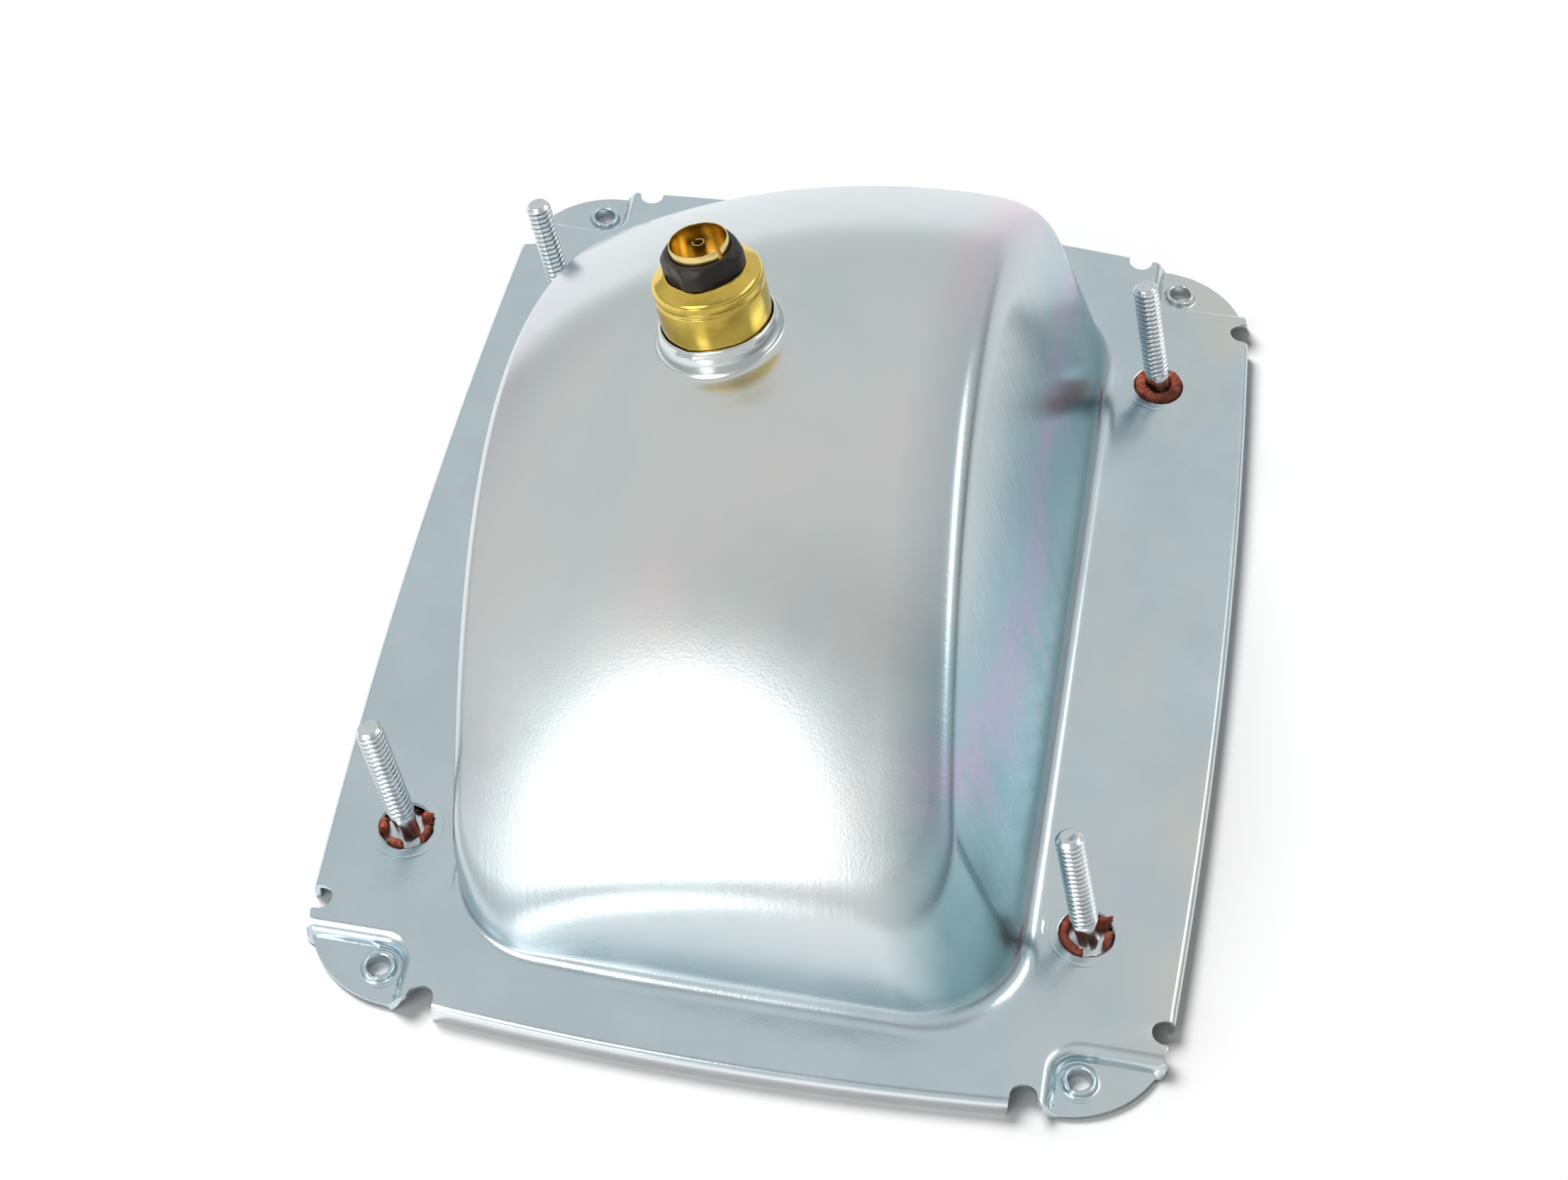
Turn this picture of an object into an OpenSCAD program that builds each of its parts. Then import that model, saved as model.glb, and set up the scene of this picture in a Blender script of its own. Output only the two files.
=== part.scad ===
/* [Sheet] */
// Thickness of the steel sheet
sheet = 1; // [0.7:0.1:1.4]
// Height of the flange's top face above the surface it lies on
rim_h = 4.2; // [4:0.1:7]

/* [Flange] */
// Width across the middle of the long sides
flange_w = 152; // [146:1:166]
// Length across the middle of the ends
flange_l = 200; // [196:1:216]
// Radius of the bowed long sides
side_r = 1400; // [700:50:3000]
// Radius of the bowed ends
end_r = 560; // [350:10:2000]
// Distance from the ear hole to the end of a side's skirt, along
side_skirt = 12.5; // [11.5:0.5:30.5]
// Distance from the ear hole to the end of an end's skirt, across
end_skirt = 11.75; // [11.25:0.25:29.25]

/* [Ears] */
// Distance of the ear holes from the flange's long sides
ear_side = 16.75; // [15.5:0.05:18.5]
// Distance of the ear holes from the flange's ends
ear_end = 9.5; // [8.5:0.1:11]
// Bore of the ear holes
ear_bore = 4; // [3:0.1:4.6]
// Outer diameter of the raised collar round an ear hole
ear_collar_d = 5.4; // [5.2:0.1:6.6]
// Height of the collar above the ear
ear_collar_h = 1.4; // [0.5:0.1:2]
// Height of the ear's underside above the surface the rim lies on
ear_lift = 0.2; // [0.1:0.1:1]
// Distance from the ear hole to the step on its inner side
ear_in = 4.6; // [4:0.1:5.5]
// Distance from the ear hole to the step behind it
ear_back = 4.8; // [4:0.1:6]
// Radius of the inner corner of the step
ear_corner_r = 4.5; // [2:0.5:6]
// Radius of the ear's free outer edge
ear_edge_r = 17.5; // [16:0.5:19]
// Distance from the ear hole to the centre of the outer edge, across
ear_edge_dx = 3.4; // [2:0.1:4.5]
// Distance from the ear hole to the centre of the outer edge, along
ear_edge_dy = 11; // [10:0.1:12]
// Radius of the relief notches beside the ears
notch_r = 2.3; // [1.5:0.1:2.6]
// Side notch, place from the ear hole across and along
notch_side = [13, 10.2]; // [8:0.1:16]
// End notch, place from the ear hole across and along
notch_end = [8.7, 5.8]; // [4:0.1:12]

/* [Bucket] */
// Land between the left studs' holes and the bucket's foot
land_left = 7.75; // [5:0.05:16]
// Land between the right studs' holes and the bucket's foot
land_right = 5.75; // [5:0.05:14]
// Land between the near end of the flange and the bucket's foot
land_near = 14; // [12:0.5:30]
// Land between the far end of the flange and the bucket's foot
land_far = 18.5; // [14:0.5:30]
// Corner radius of the foot
foot_r = 16; // [12:1:24]
// Radius of the fillet between flange and bucket
foot_fillet = 3; // [1:0.5:4]
// Inset of the roof from the foot at the left, along the fitting direction
draft_left = 0.5; // [0.2:0.1:6]
// Inset of the roof at the right
draft_right = 7.5; // [2:0.5:12]
// Inset of the roof at the near end
draft_near = 1; // [0.5:0.5:8]
// Inset of the roof at the far end
draft_far = 2; // [0.5:0.5:8]
// Corner radius of the roof's edge
roof_r = 14; // [11:1:20]
// Height of the roof at its middle, without its crown
roof_h = 46.6; // [42:0.2:54]
// Rise of the roof from left to right, per millimetre
roof_tilt = 0.19; // [0.05:0.01:0.2]
// Crown of the roof across its width
roof_crown = 8.6; // [6:0.2:12]
// Place of the roof's crest along the length
crest_y = 1.5; // [-3:0.5:6]
// Height of the roof at the near end, without its crown
roof_near_h = 7.6; // [7:0.2:20]
// Edge rounding of the roof at the left
round_left = 5.4; // [2:0.2:8]
// Edge rounding of the roof at the right
round_right = 5; // [2:0.2:8]
// Edge rounding of the roof at the near end
round_near = 10.6; // [4:0.2:12]
// Edge rounding of the roof at the far end
round_far = 10.2; // [4:0.2:14]

/* [Fitting direction] */
// Lean of the studs and the socket to the left, in degrees
lean_left = 13.5; // [0:0.5:16]
// Lean of the studs and the socket to the far end, in degrees
lean_far = 8; // [0:0.5:12]

/* [Studs] */
// Distance of the studs from the flange's long sides
stud_side = 16.75; // [14:0.05:20]
// Distance of the studs from the flange's ends
stud_end = 36.5; // [32:0.5:45]
// Shift of the stud pattern across the flange
stud_shift = -2; // [-3:0.1:2]
// Thread diameter
stud_d = 4.83; // [4:0.01:5.5]
// Length above the flange
stud_l = 24; // [15:0.5:40]
// Chamfer at the tip
stud_chamfer = 0.7; // [0.2:0.1:1.2]
// Height of the plain neck above the flange
stud_neck_h = 3.2; // [1:0.1:5]
// Diameter of the plain neck
stud_neck_d = 4.1; // [3.5:0.1:4.7]
// Diameter of the head under the flange
stud_head_d = 13; // [12:0.1:14]
// Thickness of the head
stud_head_h = 1.2; // [0.8:0.1:1.3]

/* [Seals] */
// Hole for the stud in the flange
seal_hole_d = 9; // [8.5:0.1:10]
// Bore of the seal
seal_bore = 6.6; // [6.3:0.1:7]
// Thickness of the seal between head and flange
seal_h = 0.8; // [0.4:0.1:0.8]
// Diameter of the seal under the flange
seal_d = 12.4; // [11.5:0.1:12.8]
// Height of the seal's lip above the flange
seal_lip = 0.6; // [0.2:0.1:1.2]

/* [Socket] */
// Place of the socket's axis on the flange, across
socket_x = -7.3; // [-12:0.1:6]
// Place of the socket's axis on the flange, along
socket_y = 4.8; // [-15:0.1:15]
// Outer diameter of the brass shell
shell_d = 19.6; // [19.6:0.1:22]
// Wall of the brass shell
shell_t = 0.6; // [0.4:0.1:0.8]
// Top of the shell above the roof
shell_top = 12.4; // [11.8:0.1:15]
// Radius of the shell's shoulder
shoulder_r = 2.2; // [1:0.1:2.4]
// Underside of the shell's wide part, above the roof
shell_step = 0.8; // [0:0.1:1.4]
// Mouth of the barrel below the roof
barrel_l = 19; // [17.5:0.1:20]
// Wall of the pan's neck round the shell
neck_t = 1.3; // [1:0.1:2]
// Height of the neck above the roof
neck_h = 4.4; // [2:0.1:7]

/* [Insulator and terminals] */
// Diameter of the bush's rounded corners
bush_d = 14.3; // [13.8:0.1:15]
// Width across the bush's flats
bush_flats = 12.6; // [12.2:0.1:13.6]
// Top of the bush above the shell
bush_h = 5.2; // [3:0.1:8]
// Thickness of the bush's flange in the shell
bush_flange_h = 3.2; // [2.6:0.1:3.6]
// Floor of the plug space, above the underside of the bush
bush_floor = 2.6; // [1.6:0.1:4]
// Diameter of the bush where it passes the shell
bush_waist_d = 13.4; // [13:0.1:13.6]
// Turn of the bush's flats about the axis, in degrees
bush_turn = 43; // [0:1:90]
// Outer diameter of the ring terminal
ring_d = 10.6; // [9:0.1:11]
// Wall of the ring terminal
ring_t = 0.5; // [0.3:0.05:0.8]
// Top of the ring terminal above the bush
ring_h = 2.1; // [0.5:0.1:4]
// Slit in the ring terminal
ring_slit = 0.8; // [0.4:0.1:1.5]
// Turn of the slit about the axis, in degrees
slit_turn = -35; // [-180:1:180]
// Diameter of the pin terminal
pin_d = 2.5; // [2:0.1:3.2]
// Bore of the rolled pin
pin_bore = 1.3; // [0.6:0.1:1.4]
// Top of the pin below the rim of the ring terminal
pin_drop = 0.6; // [0.2:0.1:4]
// Length of the pin's tail below the bush
pin_tail = 1; // [0.5:0.1:1.5]
// Diameter of the pin's tail in the bush
pin_tail_d = 2.1; // [1.6:0.1:2.4]

/* [Contacts] */
// Thickness of the contact plate
plate_h = 2; // [1.4:0.1:2.2]
// Underside of the contact plate below the roof, at rest
plate_rest = 2; // [1.8:0.1:2.5]
// Distance of each contact from the axis
contact_off = 3.4; // [2.8:0.1:3.6]
// Diameter of a contact's head
contact_d = 3.6; // [2.6:0.1:4]
// Height of a contact's head
contact_h = 0.9; // [0.5:0.1:1.2]
// Diameter of a contact's rivet shank
rivet_d = 2; // [1.4:0.1:2.2]
// Height of a rivet's upset end above the plate
rivet_h = 0.8; // [0.4:0.1:1.2]
// Travel of the contact plate and the bulb
plunge = 2.5; // [1.5:0.1:2.5]
// Mean diameter of the contact spring
spring_d = 11.6; // [11:0.1:13]
// Wire of the contact spring
spring_wire = 0.8; // [0.5:0.05:0.9]
// Turns of the contact spring
spring_turns = 4; // [3:0.5:5]

/* [Bulb] */
// Diameter of the bulb's base
base_d = 15.2; // [14.5:0.1:15.5]
// Length of the bulb's base
base_l = 16.5; // [15:0.1:18]
// Wall of the bulb's base
base_t = 0.4; // [0.3:0.05:0.6]
// Width of the rim round the base's insulator
base_rim = 0.8; // [0.5:0.1:1.2]
// Height of the base's insulator
base_glass_h = 1.5; // [1:0.1:2.5]
// Diameter of the solder contacts
solder_d = 3; // [2:0.1:3.6]
// Height of the solder contacts
solder_h = 0.6; // [0.3:0.1:0.8]
// Diameter of the bayonet pins
bayonet_d = 2; // [1.6:0.1:2.2]
// Reach of the bayonet pins from the axis
bayonet_reach = 8.9; // [8.6:0.1:9.2]
// First pin below the end of the base's insulator
bayonet_drop = 6.6; // [6:0.1:7]
// Second pin below the first one
bayonet_offset = 3; // [0:0.1:3]
// Turn of the bulb in its slots, in degrees
bayonet_turn = 25; // [15:1:30]
// Diameter of the bulb's glass
glass_d = 26; // [20:0.5:28]
// Length of the glass below the base
glass_l = 29; // [26:0.5:32]
// Wall of the glass
glass_t = 0.7; // [0.5:0.1:1]
// Length of the glass neck inside the base
glass_seat = 8.2; // [6:0.1:9]
// Length of the straight glass neck below the base
glass_neck_l = 3; // [1:0.5:5]
// Length of the glass stem below the base
stem_l = 8; // [5:0.5:12]
// Diameter of the glass stem
stem_d = 7; // [5:0.1:8]
// Diameter of the lead wires
lead_d = 0.6; // [0.4:0.05:0.8]
// Depth of the lead wires in the stem
lead_seat = 3; // [1:0.5:5]
// Free length of the lead wires down to the bright filament
lead_l = 6; // [4:0.5:8]
// Diameter of the filaments
filament_d = 0.5; // [0.3:0.05:0.8]
// Half length of the filaments
filament_half = 3; // [2:0.1:4]
// Distance between the bright and the dim filament along the axis
filament_gap = 3; // [2:0.1:5]

/* [Clearances] */
// Fixed fit between pieces of one assembly, on the radius
fit = 0.04; // [0.02:0.01:0.1]
// Sliding clearance of the bulb and the contact plate in the barrel, on the radius
slide = 0.2; // [0.15:0.01:0.35]
// Clearance of the bayonet pins in their slots
slot_gap = 0.5; // [0.35:0.05:0.7]

/* [Hidden] */
$fn = 96;
// Left or right, and near or far, of the four corners
CORNERS = [["near_left", -1, -1], ["near_right", 1, -1], ["far_left", -1, 1], ["far_right", 1, 1]];
// Overlap that joins the solids of one piece
weld = 0.5;
// Lean of the fitting direction as shear per millimetre of height
shear_x = -tan(lean_left);
shear_y = tan(lean_far) / cos(lean_left);
// Height gained along the fitting direction
rise = cos(lean_left) * cos(lean_far);
zinc = [0.68, 0.73, 0.75];
brass = [0.79, 0.65, 0.24];
dark = [0.2, 0.19, 0.2];

// Spacing of the ear holes and the studs
ear_dx = flange_w - 2 * ear_side;
ear_dy = flange_l - 2 * ear_end;
stud_dx = flange_w - 2 * stud_side;
stud_dy = flange_l - 2 * stud_end;
// Edges of the bucket's foot
foot_left = stud_shift - stud_dx / 2 + seal_hole_d / 2 + land_left;
foot_right = stud_shift + stud_dx / 2 - seal_hole_d / 2 - land_right;
foot_near = land_near - flange_l / 2;
foot_far = flange_l / 2 - land_far;

// The bucket is a stack of rings, from the flange up its wall, over the edge and across the roof
ring_side = 7;
ring_arc = 5;
roof_w = (foot_right - foot_left) / 2;
roof_bow = (roof_h - roof_near_h) / pow(crest_y - foot_near, 2);
function roof_z(x, y) = roof_h + roof_tilt * x - roof_bow * pow(y - crest_y, 2)
    + roof_crown * (1 - pow(x / roof_w, 2));
function mix(a, b, t) = a + (b - a) * t;
function bend(a, b, c, t) = mix(mix(a, b, t), mix(b, c, t), t);
// Rounded rectangle as points, the same number for every size
function frame_points(x0, x1, y0, y1, r) =
    let (c = [[x1 - r, y0 + r], [x1 - r, y1 - r], [x0 + r, y1 - r], [x0 + r, y0 + r]])
    [for (i = [0:3]) for (j = [0:ring_arc + ring_side - 1])
        let (a = 90 * (i - 1), last = c[i] + r * [cos(a + 90), sin(a + 90)],
             next = c[(i + 1) % 4] + r * [cos(a + 90), sin(a + 90)])
        j <= ring_arc ? c[i] + r * [cos(a + 90 * j / ring_arc), sin(a + 90 * j / ring_arc)]
                      : mix(last, next, (j - ring_arc) / ring_side)];
function at_height(ring, z) = [for (p = ring) [p[0], p[1], z]];
function on_roof(ring, down) = [for (p = ring) [p[0], p[1], roof_z(p[0], p[1]) - down]];
function bend_rings(a, b, c, steps) =
    [for (k = [0:steps]) [for (i = [0:len(a) - 1]) bend(a[i], b[i], c[i], k / steps)]];
// Point on the wall, as far below the roof's edge as the edge is rounded
function below_edge(foot, edge, inner) = [for (i = [0:len(foot) - 1])
    mix(edge[i], foot[i], min(0.75, norm(inner[i] - edge[i]) / norm(foot[i] - edge[i])))];
function above_foot(foot, edge) = [for (i = [0:len(foot) - 1])
    mix(foot[i], edge[i], min(0.2, foot_fillet / norm(edge[i] - foot[i])))];
function lean(p) = [p[0] + shear_x * p[2], p[1] + shear_y * p[2], p[2] + rim_h];
// Rings of the bucket's outside, or of its inside when in is the sheet's thickness
function bucket_rings(in) =
    let (out = foot_fillet, low = -in,
         skirt = frame_points(foot_left - out, foot_right + out, foot_near - out,
             foot_far + out, foot_r + out),
         base = frame_points(foot_left + in, foot_right - in, foot_near + in, foot_far - in, foot_r - in),
         foot = at_height(base, low),
         edge = on_roof(frame_points(foot_left + draft_left + in, foot_right - draft_right - in,
             foot_near + draft_near + in, foot_far - draft_far - in, roof_r - in), in),
         inner = on_roof(frame_points(foot_left + draft_left + round_left,
             foot_right - draft_right - round_right, foot_near + draft_near + round_near,
             foot_far - draft_far - round_far, roof_r - round_left), in),
         middle = [(foot_left + foot_right) / 2, (foot_near + foot_far) / 2])
    concat([at_height(skirt, low - weld)],
        bend_rings(at_height(skirt, low), foot, above_foot(foot, edge), 3),
        bend_rings(below_edge(foot, edge, inner), edge, inner, 4),
        [for (s = [0.66, 0.33]) on_roof([for (p = inner) mix(middle, [p[0], p[1]], s)], in)]);

module bucket_solid(in) {
    rings = bucket_rings(in);
    n = len(rings[0]);
    m = len(rings);
    middle = [(foot_left + foot_right) / 2, (foot_near + foot_far) / 2];
    points = concat([for (r = rings) for (p = r) lean(p)],
        [lean([middle[0], middle[1], roof_z(middle[0], middle[1]) - in])]);
    faces = concat([[for (i = [0:n - 1]) i]],
        [for (k = [0:m - 2]) for (i = [0:n - 1]) for (f = [0, 1])
            f == 0 ? [k * n + i, (k + 1) * n + i, k * n + (i + 1) % n]
                   : [k * n + (i + 1) % n, (k + 1) * n + i, (k + 1) * n + (i + 1) % n]],
        [for (i = [0:n - 1]) [(m - 1) * n + i, m * n, (m - 1) * n + (i + 1) % n]]);
    polyhedron(points, faces);
}

neck_bore = shell_d + 2 * fit;
neck_d = neck_bore + 2 * neck_t;
// Puts a piece on the socket's axis, with its zero where the axis meets the roof
seat_z = roof_z(socket_x, socket_y);
module on_socket() {
    translate([socket_x + shear_x * seat_z, socket_y + shear_y * seat_z, rim_h + seat_z])
        rotate([-lean_far, -lean_left, 0]) children();
}

// Bowed outline of the flange, drawn in by d
module flange_outline(d) {
    intersection() {
        intersection_for (s = [-1, 1])
            translate([s * (flange_w / 2 - side_r), 0]) circle(side_r - d, $fn = 720);
        intersection_for (s = [-1, 1])
            translate([0, s * (flange_l / 2 - end_r)]) circle(end_r - d, $fn = 720);
    }
}
// Corner that is stepped down, grown by g, as seen in the far right corner
module ear_zone(g) {
    x0 = ear_dx / 2 - ear_in - g;
    y0 = ear_dy / 2 - ear_back - g;
    far = ear_edge_r + ear_in + ear_back;
    difference() {
        translate([x0, y0]) square(far);
        difference() {
            translate([x0 - weld, y0 - weld]) square(ear_corner_r + g + weld);
            translate([x0 + ear_corner_r + g, y0 + ear_corner_r + g]) circle(ear_corner_r + g);
        }
    }
}
module ear_edge() {
    translate([ear_dx / 2 - ear_edge_dx, ear_dy / 2 - ear_edge_dy]) circle(ear_edge_r);
}
// Half-round notches on both sides of an ear, open to the outside
module notches() {
    side = [ear_dx / 2 + notch_side[0], ear_dy / 2 - notch_side[1]];
    end = [ear_dx / 2 - notch_end[0], ear_dy / 2 + notch_end[1]];
    mouth_side = flange_w / 2 - side[0] + notch_r;
    mouth_end = flange_l / 2 - end[1] + notch_r;
    translate(side) circle(notch_r);
    translate(side - [0, notch_r]) square([mouth_side, 2 * notch_r]);
    translate(end) circle(notch_r);
    translate(end - [notch_r, 0]) square([2 * notch_r, mouth_end]);
}
module at_corners() {
    for (c = CORNERS) mirror([c[1] < 0 ? 1 : 0, 0]) mirror([0, c[2] < 0 ? 1 : 0]) children();
}
module flange_plate() {
    difference() {
        intersection() {
            flange_outline(0);
            union() {
                square([flange_w, 2 * (ear_dy / 2 - ear_edge_dy)], center = true);
                square([2 * (ear_dx / 2 - ear_edge_dx), flange_l], center = true);
                at_corners() ear_edge();
            }
        }
        at_corners() { ear_zone(0); notches(); }
    }
}
module skirt_band() {
    difference() {
        intersection() {
            flange_outline(0);
            union() {
                square([flange_w, ear_dy - 2 * side_skirt], center = true);
                square([ear_dx - 2 * end_skirt, flange_l], center = true);
            }
        }
        flange_outline(sheet);
        at_corners() notches();
    }
}
module ear_plate() {
    difference() {
        intersection() { ear_edge(); ear_zone(sheet); }
        notches();
    }
}
module ear_riser() {
    difference() { ear_plate(); ear_zone(0); }
}
module ear_collars() {
    for (c = CORNERS) translate([c[1] * ear_dx / 2, c[2] * ear_dy / 2, ear_lift + sheet / 2])
        cylinder(h = ear_collar_h + sheet / 2, d = ear_collar_d);
}
module pan_holes() {
    for (c = CORNERS) {
        translate([c[1] * ear_dx / 2, c[2] * ear_dy / 2, -weld])
            cylinder(h = rim_h + ear_collar_h, d = ear_bore);
        translate([stud_shift + c[1] * stud_dx / 2, c[2] * stud_dy / 2, 0])
            cylinder(h = rim_h + sheet, d = seal_hole_d);
    }
    on_socket() translate([0, 0, -barrel_l]) cylinder(h = barrel_l + neck_h + weld, d = neck_bore);
}
module housing_pan() {
    color(zinc) difference() {
        union() {
            translate([0, 0, rim_h - sheet]) linear_extrude(sheet) flange_plate();
            linear_extrude(rim_h) skirt_band();
            translate([0, 0, ear_lift]) linear_extrude(sheet) at_corners() ear_plate();
            translate([0, 0, ear_lift]) linear_extrude(rim_h - ear_lift) at_corners() ear_riser();
            ear_collars();
            bucket_solid(0);
            on_socket() translate([0, 0, -neck_d / 4]) cylinder(h = neck_h + neck_d / 4, d = neck_d);
        }
        bucket_solid(sheet);
        pan_holes();
    }
}

module stud(sx, sy) {
    foot = [stud_shift + sx * stud_dx / 2, sy * stud_dy / 2, rim_h];
    under = sheet + seal_h;
    color(zinc) {
        translate(foot - [0, 0, under + stud_head_h]) cylinder(h = stud_head_h, d = stud_head_d);
        translate(foot) rotate([-lean_far, -lean_left, 0]) {
            translate([0, 0, -under / rise - stud_head_h / 2])
                cylinder(h = under / rise + stud_head_h / 2 + stud_neck_h + weld, d = stud_neck_d);
            translate([0, 0, stud_neck_h]) cylinder(h = stud_l - stud_neck_h - stud_chamfer, d = stud_d);
            translate([0, 0, stud_l - stud_chamfer])
                cylinder(h = stud_chamfer, d1 = stud_d, d2 = stud_d - 2 * stud_chamfer);
        }
    }
}
module seal(sx, sy) {
    foot = [stud_shift + sx * stud_dx / 2, sy * stud_dy / 2, rim_h];
    color([0.62, 0.2, 0.14]) translate(foot) difference() {
        union() {
            translate([0, 0, -sheet - seal_h]) cylinder(h = seal_h, d = seal_d);
            translate([0, 0, -sheet - seal_h / 2])
                cylinder(h = sheet + seal_h / 2 + seal_lip, d = seal_hole_d - 2 * fit);
        }
        translate([0, 0, -sheet - seal_h - weld])
            cylinder(h = sheet + seal_h + seal_lip + 2 * weld, d = seal_bore);
    }
}

barrel_d = base_d + 2 * slide;
solder_low = -plate_rest - contact_h - fit - solder_h;
pin_level = solder_low - bayonet_drop;
// Slot for one bayonet pin: a window for the travel and the turn, and a way in from the mouth
module bayonet_slot(level) {
    tall = bayonet_d + 2 * slot_gap;
    wide = 2 * bayonet_reach * sin(bayonet_turn / 2) + tall;
    deep = barrel_d / 2;
    rotate(-bayonet_turn / 2) translate([deep / 2, -wide / 2, level - tall / 2])
        cube([deep, wide, tall + plunge]);
    rotate(-bayonet_turn) translate([deep / 2, -tall / 2, -barrel_l - weld])
        cube([deep, tall, level + barrel_l + weld]);
}
module socket_shell() {
    out = shell_d / 2;
    brl = barrel_d / 2;
    arc = [for (a = [0:15:90]) [cos(a), sin(a)]];
    mouth = bush_waist_d / 2 + fit;
    round_in = shoulder_r - shell_t;
    color(brass) on_socket() difference() {
        rotate_extrude() polygon(concat(
            [[brl, -barrel_l], [brl + shell_t, -barrel_l], [brl + shell_t, shell_step], [out, shell_step]],
            [for (p = arc) [out - shoulder_r, shell_top - shoulder_r] + shoulder_r * p],
            [[mouth, shell_top], [mouth, shell_top - shell_t]],
            [for (i = [len(arc) - 1:-1:0]) [out - shoulder_r, shell_top - shoulder_r] + round_in * arc[i]],
            [[out - shell_t, shell_step + shell_t], [brl, shell_step + shell_t]]));
        bayonet_slot(pin_level);
        rotate(180) bayonet_slot(pin_level - bayonet_offset);
    }
}

bush_top = shell_top + bush_h;
bush_low = shell_top - shell_t - fit - bush_flange_h;
ring_low = bush_low + bush_floor / 2;
plug_floor = bush_low + bush_floor;
module insulator_bush() {
    chamfer = (bush_d - bush_flats) / 2;
    inside = shell_d / 2 - shoulder_r;
    color(dark) on_socket() difference() {
        union() {
            translate([0, 0, bush_low]) cylinder(h = bush_flange_h, r = inside);
            translate([0, 0, bush_low]) cylinder(h = shell_top + fit - bush_low + weld, d = bush_waist_d);
            intersection() {
                translate([0, 0, shell_top + fit]) union() {
                    cylinder(h = bush_h - fit - chamfer, d = bush_d);
                    translate([0, 0, bush_h - fit - chamfer])
                        cylinder(h = chamfer, d1 = bush_d, d2 = bush_d - 2 * chamfer);
                }
                rotate(bush_turn) translate([-bush_flats / 2, -bush_flats / 2, shell_top])
                    cube([bush_flats, bush_flats, bush_h + weld]);
            }
        }
        translate([0, 0, plug_floor]) cylinder(h = bush_top, d = ring_d + 2 * fit);
        translate([0, 0, ring_low]) difference() {
            cylinder(h = bush_floor, d = ring_d + 2 * fit);
            cylinder(h = bush_floor, d = ring_d - 2 * ring_t - 2 * fit);
        }
        translate([0, 0, bush_low - weld]) cylinder(h = bush_floor + 2 * weld, d = pin_tail_d + 2 * fit);
    }
}
module ring_terminal() {
    top = bush_top + ring_h;
    color(brass) on_socket() difference() {
        translate([0, 0, ring_low]) cylinder(h = top - ring_low, d = ring_d);
        translate([0, 0, ring_low - weld]) cylinder(h = top - ring_low + 2 * weld, d = ring_d - 2 * ring_t);
        rotate(slit_turn) translate([0, -ring_slit / 2, ring_low - weld]) cube([ring_d, ring_slit, top]);
    }
}
module pin_terminal() {
    top = bush_top + ring_h - pin_drop;
    tail = bush_low - pin_tail;
    color(brass) on_socket() difference() {
        union() {
            translate([0, 0, plug_floor + fit]) cylinder(h = top - plug_floor - fit, d = pin_d);
            translate([0, 0, tail]) cylinder(h = top - tail, d = pin_tail_d);
        }
        translate([0, 0, plug_floor + pin_bore]) cylinder(h = top, d = pin_bore);
    }
}

module contact_plate() {
    color([0.45, 0.26, 0.12]) on_socket() translate([0, 0, -plate_rest]) difference() {
        cylinder(h = plate_h, d = base_d);
        for (s = [-1, 1]) translate([s * contact_off, 0, -weld])
            cylinder(h = plate_h + 2 * weld, d = rivet_d + 2 * fit);
    }
}
module contact(s) {
    color(brass) on_socket() translate([s * contact_off, 0, -plate_rest]) {
        translate([0, 0, -contact_h]) cylinder(h = contact_h, d = contact_d);
        translate([0, 0, -contact_h / 2]) cylinder(h = contact_h / 2 + plate_h + rivet_h / 2, d = rivet_d);
        translate([0, 0, plate_h]) cylinder(h = rivet_h, d1 = contact_d - rivet_d / 4, d2 = rivet_d);
    }
}
module contact_bright() { contact(1); }
module contact_dim() { contact(-1); }

// The spring's wire is one tube along a helix, between the contact plate and the bush
coil_rings = 8;
coil_sides = 6;
spring_l = bush_low + plate_rest - plate_h;
spring_pitch = (spring_l - spring_wire - 2 * fit) / spring_turns;
function coil_point(t, side) =
    let (a = 360 * t, b = 360 * side / coil_sides, r = (spring_d + spring_wire * cos(b)) / 2)
    [r * cos(a), r * sin(a), t * spring_pitch + spring_wire / 2 * sin(b)];
coil_steps = spring_turns * coil_rings;
coil_mid = [for (k = [0:coil_steps]) [spring_d / 2 * cos(360 * k / coil_rings),
    spring_d / 2 * sin(360 * k / coil_rings), k * spring_pitch / coil_rings]];
coil_gap = min([for (i = [0:coil_steps]) for (j = [i + coil_rings / 2:1:coil_steps])
    norm(coil_mid[i] - coil_mid[j])]) - spring_wire;
echo(least_gap_of_spring = coil_gap);
module contact_spring() {
    last = coil_steps * coil_sides;
    color([0.6, 0.6, 0.62]) on_socket()
        translate([0, 0, -plate_rest + plate_h + fit + spring_wire / 2]) polyhedron(
            [for (k = [0:coil_steps]) for (s = [0:coil_sides - 1]) coil_point(k / coil_rings, s)],
            concat([[for (s = [0:coil_sides - 1]) s]], [[for (s = [coil_sides - 1:-1:0]) last + s]],
                [for (k = [0:coil_steps - 1]) for (s = [0:coil_sides - 1]) for (f = [0, 1])
                    let (a = k * coil_sides + s, b = k * coil_sides + (s + 1) % coil_sides)
                    f == 0 ? [a, a + coil_sides, b] : [b, a + coil_sides, b + coil_sides]]));
}

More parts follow.
